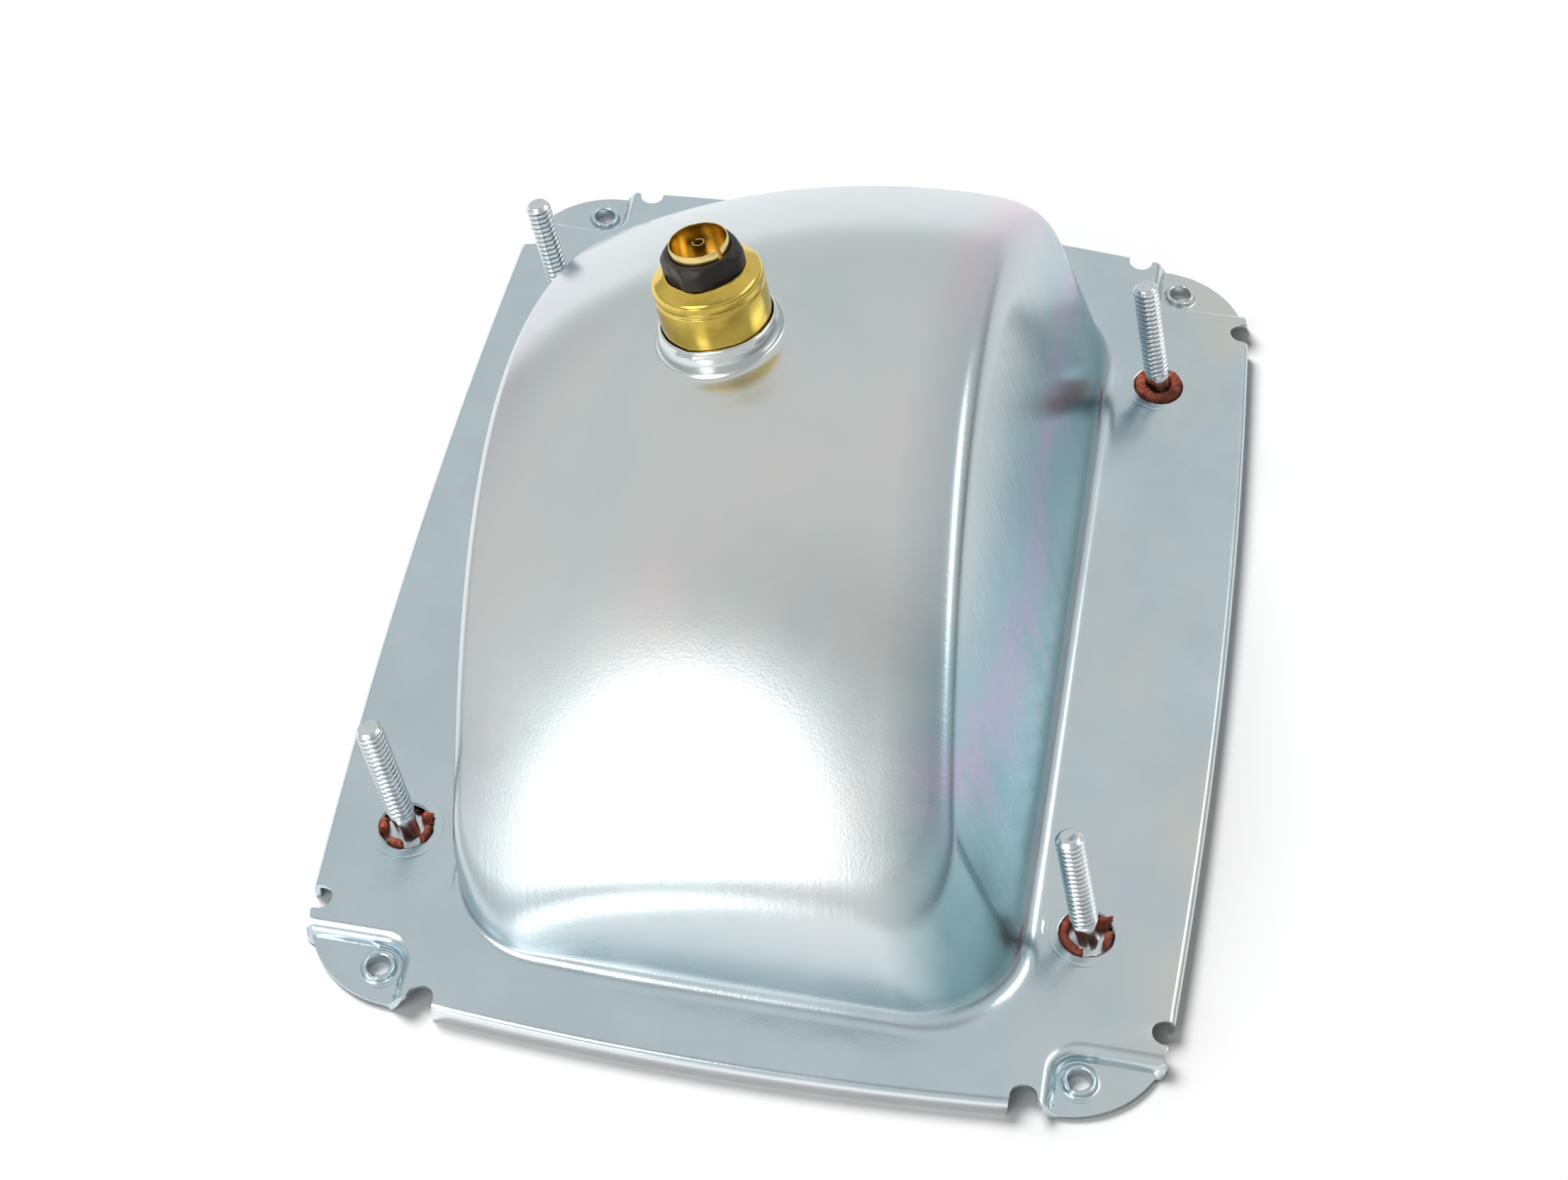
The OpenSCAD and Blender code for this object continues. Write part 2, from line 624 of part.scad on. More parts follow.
// Levels of the bulb below the roof, from its contacts to the tip of its glass
base_top = solder_low - base_glass_h / 2;
base_low = base_top - base_l;
glass_mid = base_low - glass_l + glass_d / 2;
base_bore = base_d - 2 * base_t;
base_hole_d = base_bore - 2 * base_rim;
glass_neck_d = base_bore - 2 * slide;
module bulb_base() {
    color(brass) on_socket() difference() {
        translate([0, 0, base_low]) cylinder(h = base_l, d = base_d);
        translate([0, 0, base_low - weld]) cylinder(h = base_l - base_t + weld, d = base_bore);
        translate([0, 0, base_low]) cylinder(h = base_l + weld, d = base_hole_d + 2 * fit);
        for (s = [0, 1]) rotate(180 * s) translate([0, 0, pin_level - s * bayonet_offset])
            rotate([0, 90, 0]) cylinder(h = base_d, d = bayonet_d + 2 * fit);
    }
}
module bayonet_pins() {
    inner = base_bore / 2;
    color(brass) on_socket() for (s = [0, 1]) rotate(180 * s)
        translate([inner, 0, pin_level - s * bayonet_offset])
            rotate([0, 90, 0]) cylinder(h = bayonet_reach - inner, d = bayonet_d);
}
module base_insulator() {
    color(dark) on_socket() translate([0, 0, solder_low - base_glass_h])
        cylinder(h = base_glass_h, d = base_hole_d);
}
module solder_contacts() {
    color([0.7, 0.7, 0.72]) on_socket() for (s = [-1, 1]) translate([s * contact_off, 0, solder_low])
        cylinder(h = solder_h, d1 = solder_d, d2 = solder_d - solder_h);
}
// Half section of the glass, from its neck in the base to its round tip, drawn in by d
neck_end = base_low - glass_neck_l;
function glass_arc(d) = let (r = glass_d / 2 - d)
    [for (a = [35:-12.5:-90]) [r * cos(a), glass_mid + r * sin(a)]];
module glass_profile(d) {
    polygon(concat([[0, base_low + glass_seat - d], [glass_neck_d / 2 - d, base_low + glass_seat - d],
        [glass_neck_d / 2 - d, neck_end]], glass_arc(d), [[0, glass_mid - glass_d / 2 + d]]));
}
module bulb_glass() {
    color([0.85, 0.9, 0.92, 0.4]) on_socket() rotate_extrude() difference() {
        glass_profile(0);
        glass_profile(glass_t);
    }
}
stem_top = base_low + glass_seat - glass_t;
stem_low = base_low - stem_l;
module glass_stem() {
    color([0.8, 0.86, 0.88]) on_socket() difference() {
        translate([0, 0, stem_low]) cylinder(h = stem_top - stem_low, d = stem_d);
        for (x = [-1, 1]) for (y = [-1, 1]) translate([x * lead_off, y * lead_off, stem_low - weld])
            cylinder(h = lead_seat + weld, d = lead_d + 2 * fit);
    }
}
lead_off = stem_d / 4;
bright_level = stem_low - lead_l;
function filament_level(y) = bright_level - (y > 0 ? 0 : filament_gap);
module lead_wires() {
    color([0.75, 0.75, 0.76]) on_socket() for (x = [-1, 1]) for (y = [-1, 1])
        translate([x * lead_off, y * lead_off, filament_level(y) + filament_d / 2 + fit])
            cylinder(h = stem_low + lead_seat - filament_level(y) - filament_d / 2 - fit, d = lead_d);
}
module filament(y) {
    color([0.5, 0.5, 0.52]) on_socket() translate([-filament_half, y * lead_off, filament_level(y)])
        rotate([0, 90, 0]) cylinder(h = 2 * filament_half, d = filament_d);
}
module filament_bright() { filament(1); }
module filament_dim() { filament(-1); }

housing_pan();
for (c = CORNERS) {
    stud(c[1], c[2]);
    seal(c[1], c[2]);
}
socket_shell();
insulator_bush();
ring_terminal();
pin_terminal();
contact_plate();
contact_bright();
contact_dim();
contact_spring();
bulb_base();
bayonet_pins();
base_insulator();
solder_contacts();
bulb_glass();
glass_stem();
lead_wires();
filament_bright();
filament_dim();
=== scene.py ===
import bpy, bmesh, math
from mathutils import Euler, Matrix, Quaternion, Vector, geometry


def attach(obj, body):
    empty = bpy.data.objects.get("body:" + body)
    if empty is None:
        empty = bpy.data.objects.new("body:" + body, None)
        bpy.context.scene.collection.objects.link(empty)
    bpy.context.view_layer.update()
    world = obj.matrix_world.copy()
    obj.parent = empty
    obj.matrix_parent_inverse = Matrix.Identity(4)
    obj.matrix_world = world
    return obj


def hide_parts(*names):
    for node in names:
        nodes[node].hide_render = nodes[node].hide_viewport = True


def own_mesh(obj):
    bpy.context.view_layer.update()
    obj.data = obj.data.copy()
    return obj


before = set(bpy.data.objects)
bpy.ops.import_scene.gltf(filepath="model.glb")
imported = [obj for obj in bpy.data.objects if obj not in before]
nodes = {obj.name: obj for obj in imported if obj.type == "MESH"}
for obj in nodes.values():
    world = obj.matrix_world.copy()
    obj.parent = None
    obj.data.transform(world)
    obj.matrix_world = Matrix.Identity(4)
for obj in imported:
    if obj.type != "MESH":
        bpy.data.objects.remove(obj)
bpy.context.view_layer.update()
scene = bpy.context.scene
mm = 0.001
print("frame loaded,", len(nodes), "nodes")

# the direction that studs, socket and bucket walls share
fitting = {"leanLeft": 13.5, "leanFar": 8.0, "rimHeight": 4.2}
rimHeight = fitting["rimHeight"]
leanEuler = Euler((-math.radians(fitting["leanFar"]), -math.radians(fitting["leanLeft"]), 0.0), "XYZ")
leanTurn = leanEuler.to_matrix()
leanBack = (-leanEuler.x, -leanEuler.y, 0.0)
drawAxis = leanTurn @ Vector((0, 0, 1))
shearX, shearY = drawAxis.x / drawAxis.z, drawAxis.y / drawAxis.z


def clamp(t):
    return max(0.0, min(1.0, t))


def smooth(t):
    t = clamp(t)
    return t * t * (3 - 2 * t)


def bump(t):
    return math.exp(-t * t)


def mix(a, b, t):
    return tuple(p + (q - p) * t for p, q in zip(a, b))


def curve(p, b, q, t):  # a point on the bend from p to q that leans on b
    return tuple(p * (1 - t) ** 2 + b * 2 * t * (1 - t) + q * t * t)


def around(x, y, r, a):  # the point at an angle on a circle
    return x + r * math.cos(a), y + r * math.sin(a)


def circle(steps):  # angles all the way round
    return [2 * math.pi * i / steps for i in range(steps)]


def angleFrom(a, at):
    return math.remainder(a - at, 2 * math.pi)


def wave(a, seed):  # a steady wobble round an angle
    slow, fast = math.sin(2 * a + seed), math.sin(11 * a + 4.1 * seed)
    return (slow + 0.7 * math.sin(5 * a + 2.3 * seed) + 0.5 * fast) / 2.2


# materials: shared effects are node groups, the shaders stay in each material
class Graph:
    def __init__(self, tree):
        self.tree = tree

    def add(self, kind):
        return self.tree.nodes.new("ShaderNode" + kind)

    def link(self, value, socket):  # a number, a colour or another node's output
        if isinstance(value, (int, float)):
            socket.default_value = value
        elif isinstance(value, tuple):
            socket.default_value = (*value, 1.0)
        else:
            self.tree.links.new(value, socket)

    def maths(self, operation, *values):
        node = self.add("Math")
        node.operation = operation
        for socket, value in zip(node.inputs, values):
            self.link(value, socket)
        return node.outputs[0]

    def times(self, first, *others):
        for value in others:
            first = self.maths("MULTIPLY", first, value)
        return first

    def plus(self, first, *others):
        for value in others:
            first = self.maths("ADD", first, value)
        return first

    def noise(self, place, scale, detail=3.0, rough=0.5):
        node = self.add("TexNoise")
        for label, value in (("Vector", place), ("Scale", scale), ("Detail", detail), ("Roughness", rough)):
            self.link(value, node.inputs[label])
        return node.outputs["Fac"]

    def ramp(self, value, low=0.0, high=1.0, toLow=0.0, toHigh=1.0):
        node = self.add("MapRange")
        for socket, number in zip(node.inputs[0:5], (value, low, high, toLow, toHigh)):
            self.link(number, socket)
        return node.outputs[0]

    def place(self, scale=(1, 1, 1), turn=(0, 0, 0)):
        mapping = self.add("Mapping")
        mapping.inputs["Scale"].default_value = scale
        mapping.inputs["Rotation"].default_value = turn
        self.link(self.add("TexCoord").outputs["Object"], mapping.inputs["Vector"])
        return mapping.outputs["Vector"]

    def split(self, vector):
        node = self.add("SeparateXYZ")
        self.link(vector, node.inputs[0])
        return node.outputs


class Effect(Graph):
    def __init__(self, name, outputs, **inputs):
        super().__init__(bpy.data.node_groups.new(name, "ShaderNodeTree"))
        face = self.tree.interface
        for label, value in inputs.items():
            socket = face.new_socket(label.replace("_", " "), in_out="INPUT", socket_type="NodeSocketFloat")
            socket.default_value = value
        for label in outputs:
            face.new_socket(label, in_out="OUTPUT", socket_type="NodeSocketFloat")
        self.given = self.tree.nodes.new("NodeGroupInput").outputs
        self.out = self.tree.nodes.new("NodeGroupOutput").inputs


def makeGrainGroup():
    effect = Effect("satinGrain", ("Grain", "Mottle"), Scale=900.0, Mottle_Scale=60.0)
    place = effect.place()
    mottle = effect.noise(place, effect.given["Mottle Scale"], 4.0, 0.6)
    effect.link(effect.noise(place, effect.given["Scale"], 2.0), effect.out["Grain"])
    effect.link(effect.ramp(mottle, 0.32, 0.68), effect.out["Mottle"])
    return effect.tree


def makeDrawLineGroup():  # fine lines left by the die, along the fitting direction
    effect = Effect("drawLines", ("Lines", "Streaks"), Density=700.0, Length=0.02, Across=1.0, Along=1.0)
    turned, density = effect.split(effect.place(turn=leanBack)), effect.given["Density"]
    drawn = effect.add("CombineXYZ")
    for axis, label in (("X", "Across"), ("Y", "Along"), ("Z", "Length")):
        effect.link(effect.times(turned[axis], effect.given[label]), drawn.inputs[axis])
    broad = effect.noise(drawn.outputs[0], effect.times(density, 0.16), 3.0, 0.6)
    effect.link(effect.noise(drawn.outputs[0], density, 2.0, 0.6), effect.out["Lines"])
    effect.link(effect.ramp(broad, 0.35, 0.65), effect.out["Streaks"])
    return effect.tree


def makeScuffGroup():  # scattered nicks and stains from handling
    effect = Effect("scuffs", ("Nicks", "Stain"), Scale=220.0, Amount=0.5)
    place, scale, amount = effect.place(), effect.given["Scale"], effect.given["Amount"]
    cells = effect.add("TexVoronoi")
    cells.feature = "F1"
    effect.link(place, cells.inputs["Vector"])
    effect.link(scale, cells.inputs["Scale"])
    spot = effect.ramp(cells.outputs["Distance"], 0.02, 0.16, 1.0, 0.0)
    rare = effect.ramp(effect.noise(place, effect.times(scale, 0.35), 2.0), 0.56, 0.66)
    stain = effect.ramp(effect.noise(place, effect.times(scale, 0.12), 6.0, 0.65), 0.5, 0.75)
    effect.link(effect.times(spot, rare, amount), effect.out["Nicks"])
    effect.link(effect.times(stain, amount), effect.out["Stain"])
    return effect.tree


grainGroup, drawLineGroup, scuffGroup = makeGrainGroup(), makeDrawLineGroup(), makeScuffGroup()


class Finish(Graph):
    def __init__(self, name, **values):
        self.material = bpy.data.materials.new(name)
        self.material.use_nodes = True
        super().__init__(self.material.node_tree)
        self.shader = self.tree.nodes["Principled BSDF"]
        for label, value in values.items():
            self.shader.inputs[label.replace("_", " ")].default_value = value

    def group(self, tree, **values):
        node = self.add("Group")
        node.node_tree = tree
        for label, value in values.items():
            node.inputs[label.replace("_", " ")].default_value = value
        return node.outputs

    def colours(self, mask, *stops):
        node = self.add("ValToRGB")
        elements = node.color_ramp.elements
        while len(elements) < len(stops):
            elements.new(0.5)
        for element, (at, colour) in zip(elements, stops):
            element.position = at
            element.color = (*colour, 1.0)
        self.link(mask, node.inputs[0])
        return node.outputs[0]

    def blend(self, mask, first, second):
        node = self.add("Mix")
        node.data_type = "RGBA"
        for socket, value in (("Factor", mask), (6, first), (7, second)):
            self.link(value, node.inputs[socket])
        return node.outputs[2]

    def relief(self, *layers):  # pairs of height and depth in millimetres
        normal = None
        for height, depth in layers:
            node = self.add("Bump")
            node.inputs["Strength"].default_value = 1.0
            node.inputs["Distance"].default_value = depth * mm
            self.link(height, node.inputs["Height"])
            if normal is not None:
                self.link(normal, node.inputs["Normal"])
            normal = node.outputs[0]
        self.feed("Normal", normal)

    def feed(self, label, value):
        self.link(value, self.shader.inputs[label])


zinc = {"flat": ((0.0, (0.535, 0.635, 0.68)), (1.0, (0.61, 0.705, 0.745))),
        "drawn": ((0.30, (0.62, 0.70, 0.70)), (0.50, (0.68, 0.72, 0.71)), (0.68, (0.72, 0.70, 0.70))),
        # the right wall's tint bands: passivation colour, with painted shade at their dark end
        "bands": ((0.0, (0.20, 0.36, 0.40)), (0.24, (0.27, 0.45, 0.50)), (0.42, (0.45, 0.42, 0.57)),
                  (0.62, (0.33, 0.48, 0.54)), (1.0, (0.46, 0.54, 0.57))),
        # pale is a painted highlight for the low near and far skirts
        "warm": (0.70, 0.70, 0.65), "pale": (0.86, 0.87, 0.88), "rose": (0.76, 0.52, 0.64),
        "lilac": (0.68, 0.65, 0.74), "cool": (0.56, 0.64, 0.67), "stain": (0.50, 0.55, 0.58), "rough": 0.20}


def makeZincSheet():  # zones are given in metres
    finish = Finish("zincSheet", Metallic=1.0)
    ramp, times, plus, blend = finish.ramp, finish.times, finish.plus, finish.blend
    grain = finish.group(grainGroup, Scale=1900.0, Mottle_Scale=45.0)
    sideLines = finish.group(drawLineGroup, Density=1500.0, Length=0.02, Across=0.04)
    endLines = finish.group(drawLineGroup, Density=1100.0, Length=0.02, Along=0.04)
    scuff = finish.group(scuffGroup, Scale=700.0, Amount=0.1)
    place = finish.place()
    across, along, height = finish.split(place)
    upright = plus(across, times(height, -shearX))
    tint = finish.noise(finish.place((1, 0.5, 1.2)), 34.0, 3.0, 0.6)
    risen = ramp(height, 0.0048, 0.0085)
    rightWall = times(ramp(upright, 0.029, 0.039, 0.0, 0.95), risen)
    level = plus(height, ramp(tint, 0.3, 0.7, -0.007, 0.007), ramp(sideLines["Streaks"], 0.0, 1.0, -0.003, 0.003),
                 ramp(along, -0.03, -0.075, 0.0, -0.016))
    # the right wall's zinc tint: partly real passivation colour, partly painted shade that darkens it towards its
    # foot and its near end
    bands = finish.colours(ramp(level, 0.004, 0.05), *zinc["bands"])
    warm = times(ramp(across, 0.046, 0.062, 0.0, 0.7), ramp(tint, 0.46, 0.6), ramp(risen, 0.0, 1.0, 1.0, 0.0))
    # painted highlight: the low near and far skirts are lightened towards white, standing in for the bright floor
    # they reflect
    pale = times(ramp(finish.maths("ABSOLUTE", across), 0.051, 0.05), ramp(height, 0.0038, 0.0028, 0.0, 0.9))
    ridge = finish.maths("SUBTRACT", ramp(upright, 0.026, 0.034), ramp(upright, 0.036, 0.042))
    rose = times(ridge, risen, ramp(along, 0.015, 0.045, 0.0, 0.75), ramp(tint, 0.35, 0.6, 0.3, 1.0))
    lilac = times(ramp(upright, -0.034, -0.046), ramp(along, -0.02, 0.03, 0.0, 0.6), risen)
    cool = times(ramp(along, 0.0, 0.06, 0.0, 0.8), finish.maths("SUBTRACT", risen, rightWall))
    base = finish.colours(grain["Mottle"], *zinc["flat"])
    base = blend(ramp(height, 0.008, 0.035), base, finish.colours(tint, *zinc["drawn"]))
    for mask, colour in ((rightWall, bands), (warm, zinc["warm"]), (pale, zinc["pale"]), (rose, zinc["rose"]),
                         (lilac, zinc["lilac"]), (cool, zinc["cool"]), (scuff["Stain"], zinc["stain"])):
        base = blend(mask, base, colour)
    finish.feed("Base Color", base)
    finish.feed("Roughness", plus(zinc["rough"], times(risen, ramp(along, 0.01, -0.05, 0.02, 0.07)),
                                  ramp(grain["Mottle"], 0.0, 1.0, -0.02, 0.04)))
    onEnd = times(risen, ramp(along, -0.07, -0.078))
    finish.relief((finish.noise(place, 26.0, 1.0), 0.05), (times(sideLines["Lines"], rightWall), 0.03),
                  (times(endLines["Lines"], onEnd), 0.02),
                  (times(grain["Grain"], ramp(along, 0.0, -0.05, 0.35, 1.0)), 0.015))
    return finish.material


def makeStudZinc():
    finish = Finish("studZinc", Metallic=1.0)
    grain = finish.group(grainGroup, Scale=2600.0, Mottle_Scale=260.0)
    thread = finish.add("UVMap")
    thread.uv_map = "thread"
    # painted shade: the thread's roots are darkened by how deep they are cut
    rootShade = finish.ramp(finish.split(thread.outputs[0])["Y"], 0.25, 1.0, 0.0, 0.85)
    base = finish.colours(grain["Mottle"], (0.0, (0.62, 0.67, 0.70)), (1.0, (0.74, 0.77, 0.78)))
    finish.feed("Base Color", finish.blend(rootShade, base, (0.16, 0.19, 0.21)))
    finish.feed("Roughness", finish.ramp(grain["Mottle"], 0.0, 1.0, 0.20, 0.28))
    finish.relief((grain["Grain"], 0.002))
    return finish.material


def makeSealRubber():
    finish = Finish("sealRubber")
    grain = finish.group(grainGroup, Scale=2400.0, Mottle_Scale=700.0)
    scuff = finish.group(scuffGroup, Scale=1300.0, Amount=0.9)
    base = finish.colours(grain["Mottle"], (0.0, (0.16, 0.035, 0.02)), (0.5, (0.30, 0.07, 0.04)),
                          (1.0, (0.42, 0.13, 0.075)))
    finish.feed("Base Color", finish.blend(scuff["Nicks"], base, (0.50, 0.24, 0.17)))
    finish.feed("Roughness", finish.ramp(grain["Grain"], 0.3, 0.7, 0.62, 0.9))
    finish.relief((grain["Mottle"], 0.10), (grain["Grain"], 0.03))
    return finish.material


def makeBrass(name, pale, deep, roughLow, roughHigh):
    finish = Finish(name, Metallic=1.0)
    grain = finish.group(grainGroup, Scale=2200.0, Mottle_Scale=150.0)
    scuff = finish.group(scuffGroup, Scale=520.0, Amount=0.8)
    base = finish.colours(grain["Mottle"], (0.0, deep), (1.0, pale))
    base = finish.blend(scuff["Stain"], base, tuple(c * 0.55 for c in deep))
    finish.feed("Base Color", finish.blend(scuff["Nicks"], base, tuple(min(1.0, c * 1.25) for c in pale)))
    finish.feed("Roughness", finish.ramp(grain["Mottle"], 0.0, 1.0, roughHigh, roughLow))
    rings = finish.noise(finish.place((60, 60, 2600), leanBack), 1.0, 2.0)  # marks of turning round the axis
    finish.relief((rings, 0.004), (grain["Grain"], 0.004))
    return finish.material


def makeBushMoulding():
    finish = Finish("bushMoulding", Specular_IOR_Level=0.35)
    grain = finish.group(grainGroup, Scale=2600.0, Mottle_Scale=320.0)
    scuff = finish.group(scuffGroup, Scale=800.0, Amount=0.9)
    base = finish.colours(grain["Mottle"], (0.0, (0.008, 0.007, 0.008)), (1.0, (0.024, 0.019, 0.018)))
    finish.feed("Base Color", finish.blend(scuff["Stain"], base, (0.07, 0.05, 0.03)))
    finish.feed("Roughness", finish.ramp(grain["Mottle"], 0.0, 1.0, 0.30, 0.5))
    finish.relief((grain["Mottle"], 0.03), (grain["Grain"], 0.012))
    return finish.material


def makePlain(name, low, high, roughLow, roughHigh, depth, **values):  # mottled finish of small hidden pieces
    finish = Finish(name, **values)
    grain = finish.group(grainGroup, Scale=2200.0, Mottle_Scale=500.0)
    finish.feed("Base Color", finish.colours(grain["Mottle"], (0.0, low), (1.0, high)))
    finish.feed("Roughness", finish.ramp(grain["Mottle"], 0.0, 1.0, roughLow, roughHigh))
    finish.relief((grain["Grain"], depth))
    return finish.material


def makeClearGlass():
    finish = Finish("clearGlass", Transmission_Weight=1.0, IOR=1.5)
    grain = finish.group(grainGroup, Scale=60.0, Mottle_Scale=90.0)
    finish.feed("Base Color", finish.colours(grain["Mottle"], (0.0, (0.93, 0.97, 0.96)), (1.0, (0.99, 1.0, 1.0))))
    finish.feed("Roughness", finish.ramp(grain["Mottle"], 0.0, 1.0, 0.0, 0.03))
    return finish.material


zincSheet, studZinc, sealRubber = makeZincSheet(), makeStudZinc(), makeSealRubber()
shellBrass = makeBrass("shellBrass", (0.80, 0.59, 0.14), (0.64, 0.45, 0.08), 0.12, 0.2)
terminalBrass = makeBrass("terminalBrass", (0.84, 0.66, 0.29), (0.70, 0.53, 0.19), 0.18, 0.28)
baseBrass = makeBrass("baseBrass", (0.78, 0.60, 0.30), (0.62, 0.46, 0.20), 0.20, 0.34)
bushMoulding, clearGlass = makeBushMoulding(), makeClearGlass()
plateBoard = makePlain("plateBoard", (0.10, 0.045, 0.02), (0.20, 0.09, 0.04), 0.5, 0.7, 0.02)
springSteel = makePlain("springSteel", (0.34, 0.34, 0.36), (0.55, 0.55, 0.57), 0.25, 0.4, 0.004, Metallic=1.0)
baseGlass = makePlain("baseGlass", (0.008, 0.008, 0.01), (0.02, 0.02, 0.024), 0.1, 0.22, 0.006)
solderTin = makePlain("solderTin", (0.45, 0.46, 0.47), (0.66, 0.67, 0.68), 0.28, 0.45, 0.02, Metallic=1.0)
wireMetal = makePlain("wireMetal", (0.30, 0.30, 0.32), (0.52, 0.52, 0.54), 0.3, 0.42, 0.002, Metallic=1.0)
print("materials made")


# mesh helpers
def makeObject(name, verts, faces, material, sharp=38.0, join=2e-6):
    mesh = bpy.data.meshes.new(name)
    mesh.from_pydata([Vector(v) * mm for v in verts], [], faces)
    work = bmesh.new()
    work.from_mesh(mesh)
    bmesh.ops.remove_doubles(work, verts=work.verts, dist=join)
    loose = [v for v in work.verts if not v.link_faces]
    bmesh.ops.delete(work, geom=loose, context="VERTS")
    bmesh.ops.recalc_face_normals(work, faces=work.faces)
    work.to_mesh(mesh)
    work.free()
    mesh.polygons.foreach_set("use_smooth", [True] * len(mesh.polygons))
    mesh.set_sharp_from_angle(angle=math.radians(sharp))
    mesh.materials.append(material)
    piece = bpy.data.objects.new(name, mesh)
    scene.collection.objects.link(piece)
    return piece


def bakeModifiers(piece):  # turns the evaluated shape into a plain mesh
    bpy.context.view_layer.update()
    graph = bpy.context.evaluated_depsgraph_get()
    mesh = bpy.data.meshes.new_from_object(piece.evaluated_get(graph))
    piece.modifiers.clear()
    piece.data = mesh
    return piece


def addPart(store, verts, faces):
    start = len(store[0])
    store[0].extend(verts)
    store[1].extend([tuple(i + start for i in f) for f in faces])


def loft(rings, closed=True):
    n = len(rings[0])
    verts = [p for ring in rings for p in ring]
    steps = n if closed else n - 1
    faces = [(k * n + i, k * n + (i + 1) % n, (k + 1) * n + (i + 1) % n, (k + 1) * n + i)
             for k in range(len(rings) - 1) for i in range(steps)]
    return verts, faces


def spin(profile, steps, place, wobble=None):  # turns radius and height pairs round an axis
    rings = []
    for r, s in profile:
        ring = []
        for a in circle(steps):
            rr, ss = wobble(a, r, s) if wobble else (r, s)
            ring.append(place(*around(0, 0, rr, a), ss))
        rings.append(ring)
    return loft(rings)


def standing(px, py):  # places a spun shape upright on a point of the flange
    return lambda x, y, z: (x + px, y + py, z)


def roundedPath(profile, steps=5):  # from radius, height and the rounding of each corner
    points = [Vector(p[:2]) for p in profile]
    out = [profile[0][:2]]
    for i in range(1, len(points) - 1):
        a, b, c = points[i - 1:i + 2]
        r = min(profile[i][2], (a - b).length * 0.49, (c - b).length * 0.49)
        if r <= 0:
            out.append(tuple(b))
            continue
        p, q = b + (a - b).normalized() * r, b + (c - b).normalized() * r
        out += [curve(p, b, q, k / steps) for k in range(steps + 1)]
    return out + [profile[-1][:2]]


def triangulate(points, loops, keep):
    verts = [Vector(p) for p in points]
    edges = []
    for loop in loops:
        start = len(verts)
        verts.extend(Vector(p) for p in loop)
        edges.extend((start + i, start + (i + 1) % len(loop)) for i in range(len(loop)))
    flat, _, faces, _, _, _ = geometry.delaunay_2d_cdt(verts, edges, [], 0, 1e-7)
    kept = [tuple(f) for f in faces if keep(sum(flat[i].x for i in f) / 3, sum(flat[i].y for i in f) / 3)]
    return [(p.x, p.y) for p in flat], kept


def insideLoop(loop):
    low = (min(p[0] for p in loop), min(p[1] for p in loop))
    high = (max(p[0] for p in loop), max(p[1] for p in loop))

    def test(x, y):
        if not (low[0] <= x <= high[0] and low[1] <= y <= high[1]):
            return False
        hit = False
        for (x0, y0), (x1, y1) in zip(loop, loop[1:] + loop[:1]):
            if (y0 > y) != (y1 > y) and x < x0 + (y - y0) / (y1 - y0) * (x1 - x0):
                hit = not hit
        return hit
    return test


# bucket of the pan, in coordinates that run along the fitting direction
bucket = {"left": -49.0, "right": 47.0, "near": -86.0, "far": 81.5, "footRound": 16.0, "fillet": 3.0,
          "insetLeft": 0.5, "insetRight": 7.5, "insetNear": 2.7, "insetFar": 2.0, "roofRound": 14.0,
          "roofHeight": 46.6, "roofTilt": 0.19, "crown": 8.6, "crest": 1.5, "nearHeight": 7.6,
          "roundLeft": 2.8, "roundRight": 3.6, "roundNear": 4.2, "roundFar": 10.2,
          "swell": 4.4, "swellAt": 22.0, "swellLength": 66.0, "swellFrom": 20.0, "swellOver": 25.0,
          "cornerSteps": 14, "longSteps": 46, "shortSteps": 26, "footSteps": 8, "wallSteps": 9, "edgeSteps": 14,
          "lowMost": 0.2, "highMost": 0.75, "gridX": 3.0, "gridY": 2.7, "gridRound": 9.0,
          "gridLeft": 6.0, "gridRight": 13.0, "gridNear": 8.8, "gridFar": 14.0}
fillet = bucket["fillet"]
roofHalf = (bucket["right"] - bucket["left"]) / 2
roofBow = (bucket["roofHeight"] - bucket["nearHeight"]) / (bucket["crest"] - bucket["near"]) ** 2


def roofHeight(x, y):
    bow = roofBow * (y - bucket["crest"]) ** 2
    return bucket["roofHeight"] + bucket["roofTilt"] * x - bow + bucket["crown"] * (1 - (x / roofHalf) ** 2)


def leaned(x, y, z):
    return (x + shearX * z, y + shearY * z, z + rimHeight)


def inset(sides, way):  # moves the left, right, near and far side inwards
    left, right, near, far = sides
    return (left + bucket[way + "Left"], right - bucket[way + "Right"],
            near + bucket[way + "Near"], far - bucket[way + "Far"])


def bucketRing(sides, r):
    left, right, near, far = sides
    corners = ((right - r, near + r), (right - r, far - r), (left + r, far - r), (left + r, near + r))
    quarter, ring = math.pi / 2, []
    for i in range(4):
        a = quarter * (i - 1)
        (cx, cy), (nx, ny) = corners[i], corners[(i + 1) % 4]
        ring += [around(cx, cy, r, a + quarter * k / bucket["cornerSteps"]) for k in range(bucket["cornerSteps"] + 1)]
        fromX, fromY = around(cx, cy, r, a + quarter)
        steps = bucket["longSteps"] if i % 2 == 0 else bucket["shortSteps"]
        ring += [(fromX + (nx - cx) * (k / steps), fromY + (ny - cy) * (k / steps)) for k in range(1, steps)]
    return ring


def roofEdge(sides, r):  # a ring on the roof, whose left edge leans out a little towards the far end
    ring = []
    for x, y in bucketRing(sides, r):
        share = smooth((-x - bucket["swellFrom"]) / bucket["swellOver"])
        x -= bucket["swell"] * share * bump((y - bucket["swellAt"]) / bucket["swellLength"])
        ring.append((x, y, roofHeight(x, y)))
    return ring


def bendRings(a, c, e, steps):
    return [[mix(mix(p, q, k / steps), mix(q, r, k / steps), k / steps) for p, q, r in zip(a, c, e)]
            for k in range(steps + 1)]


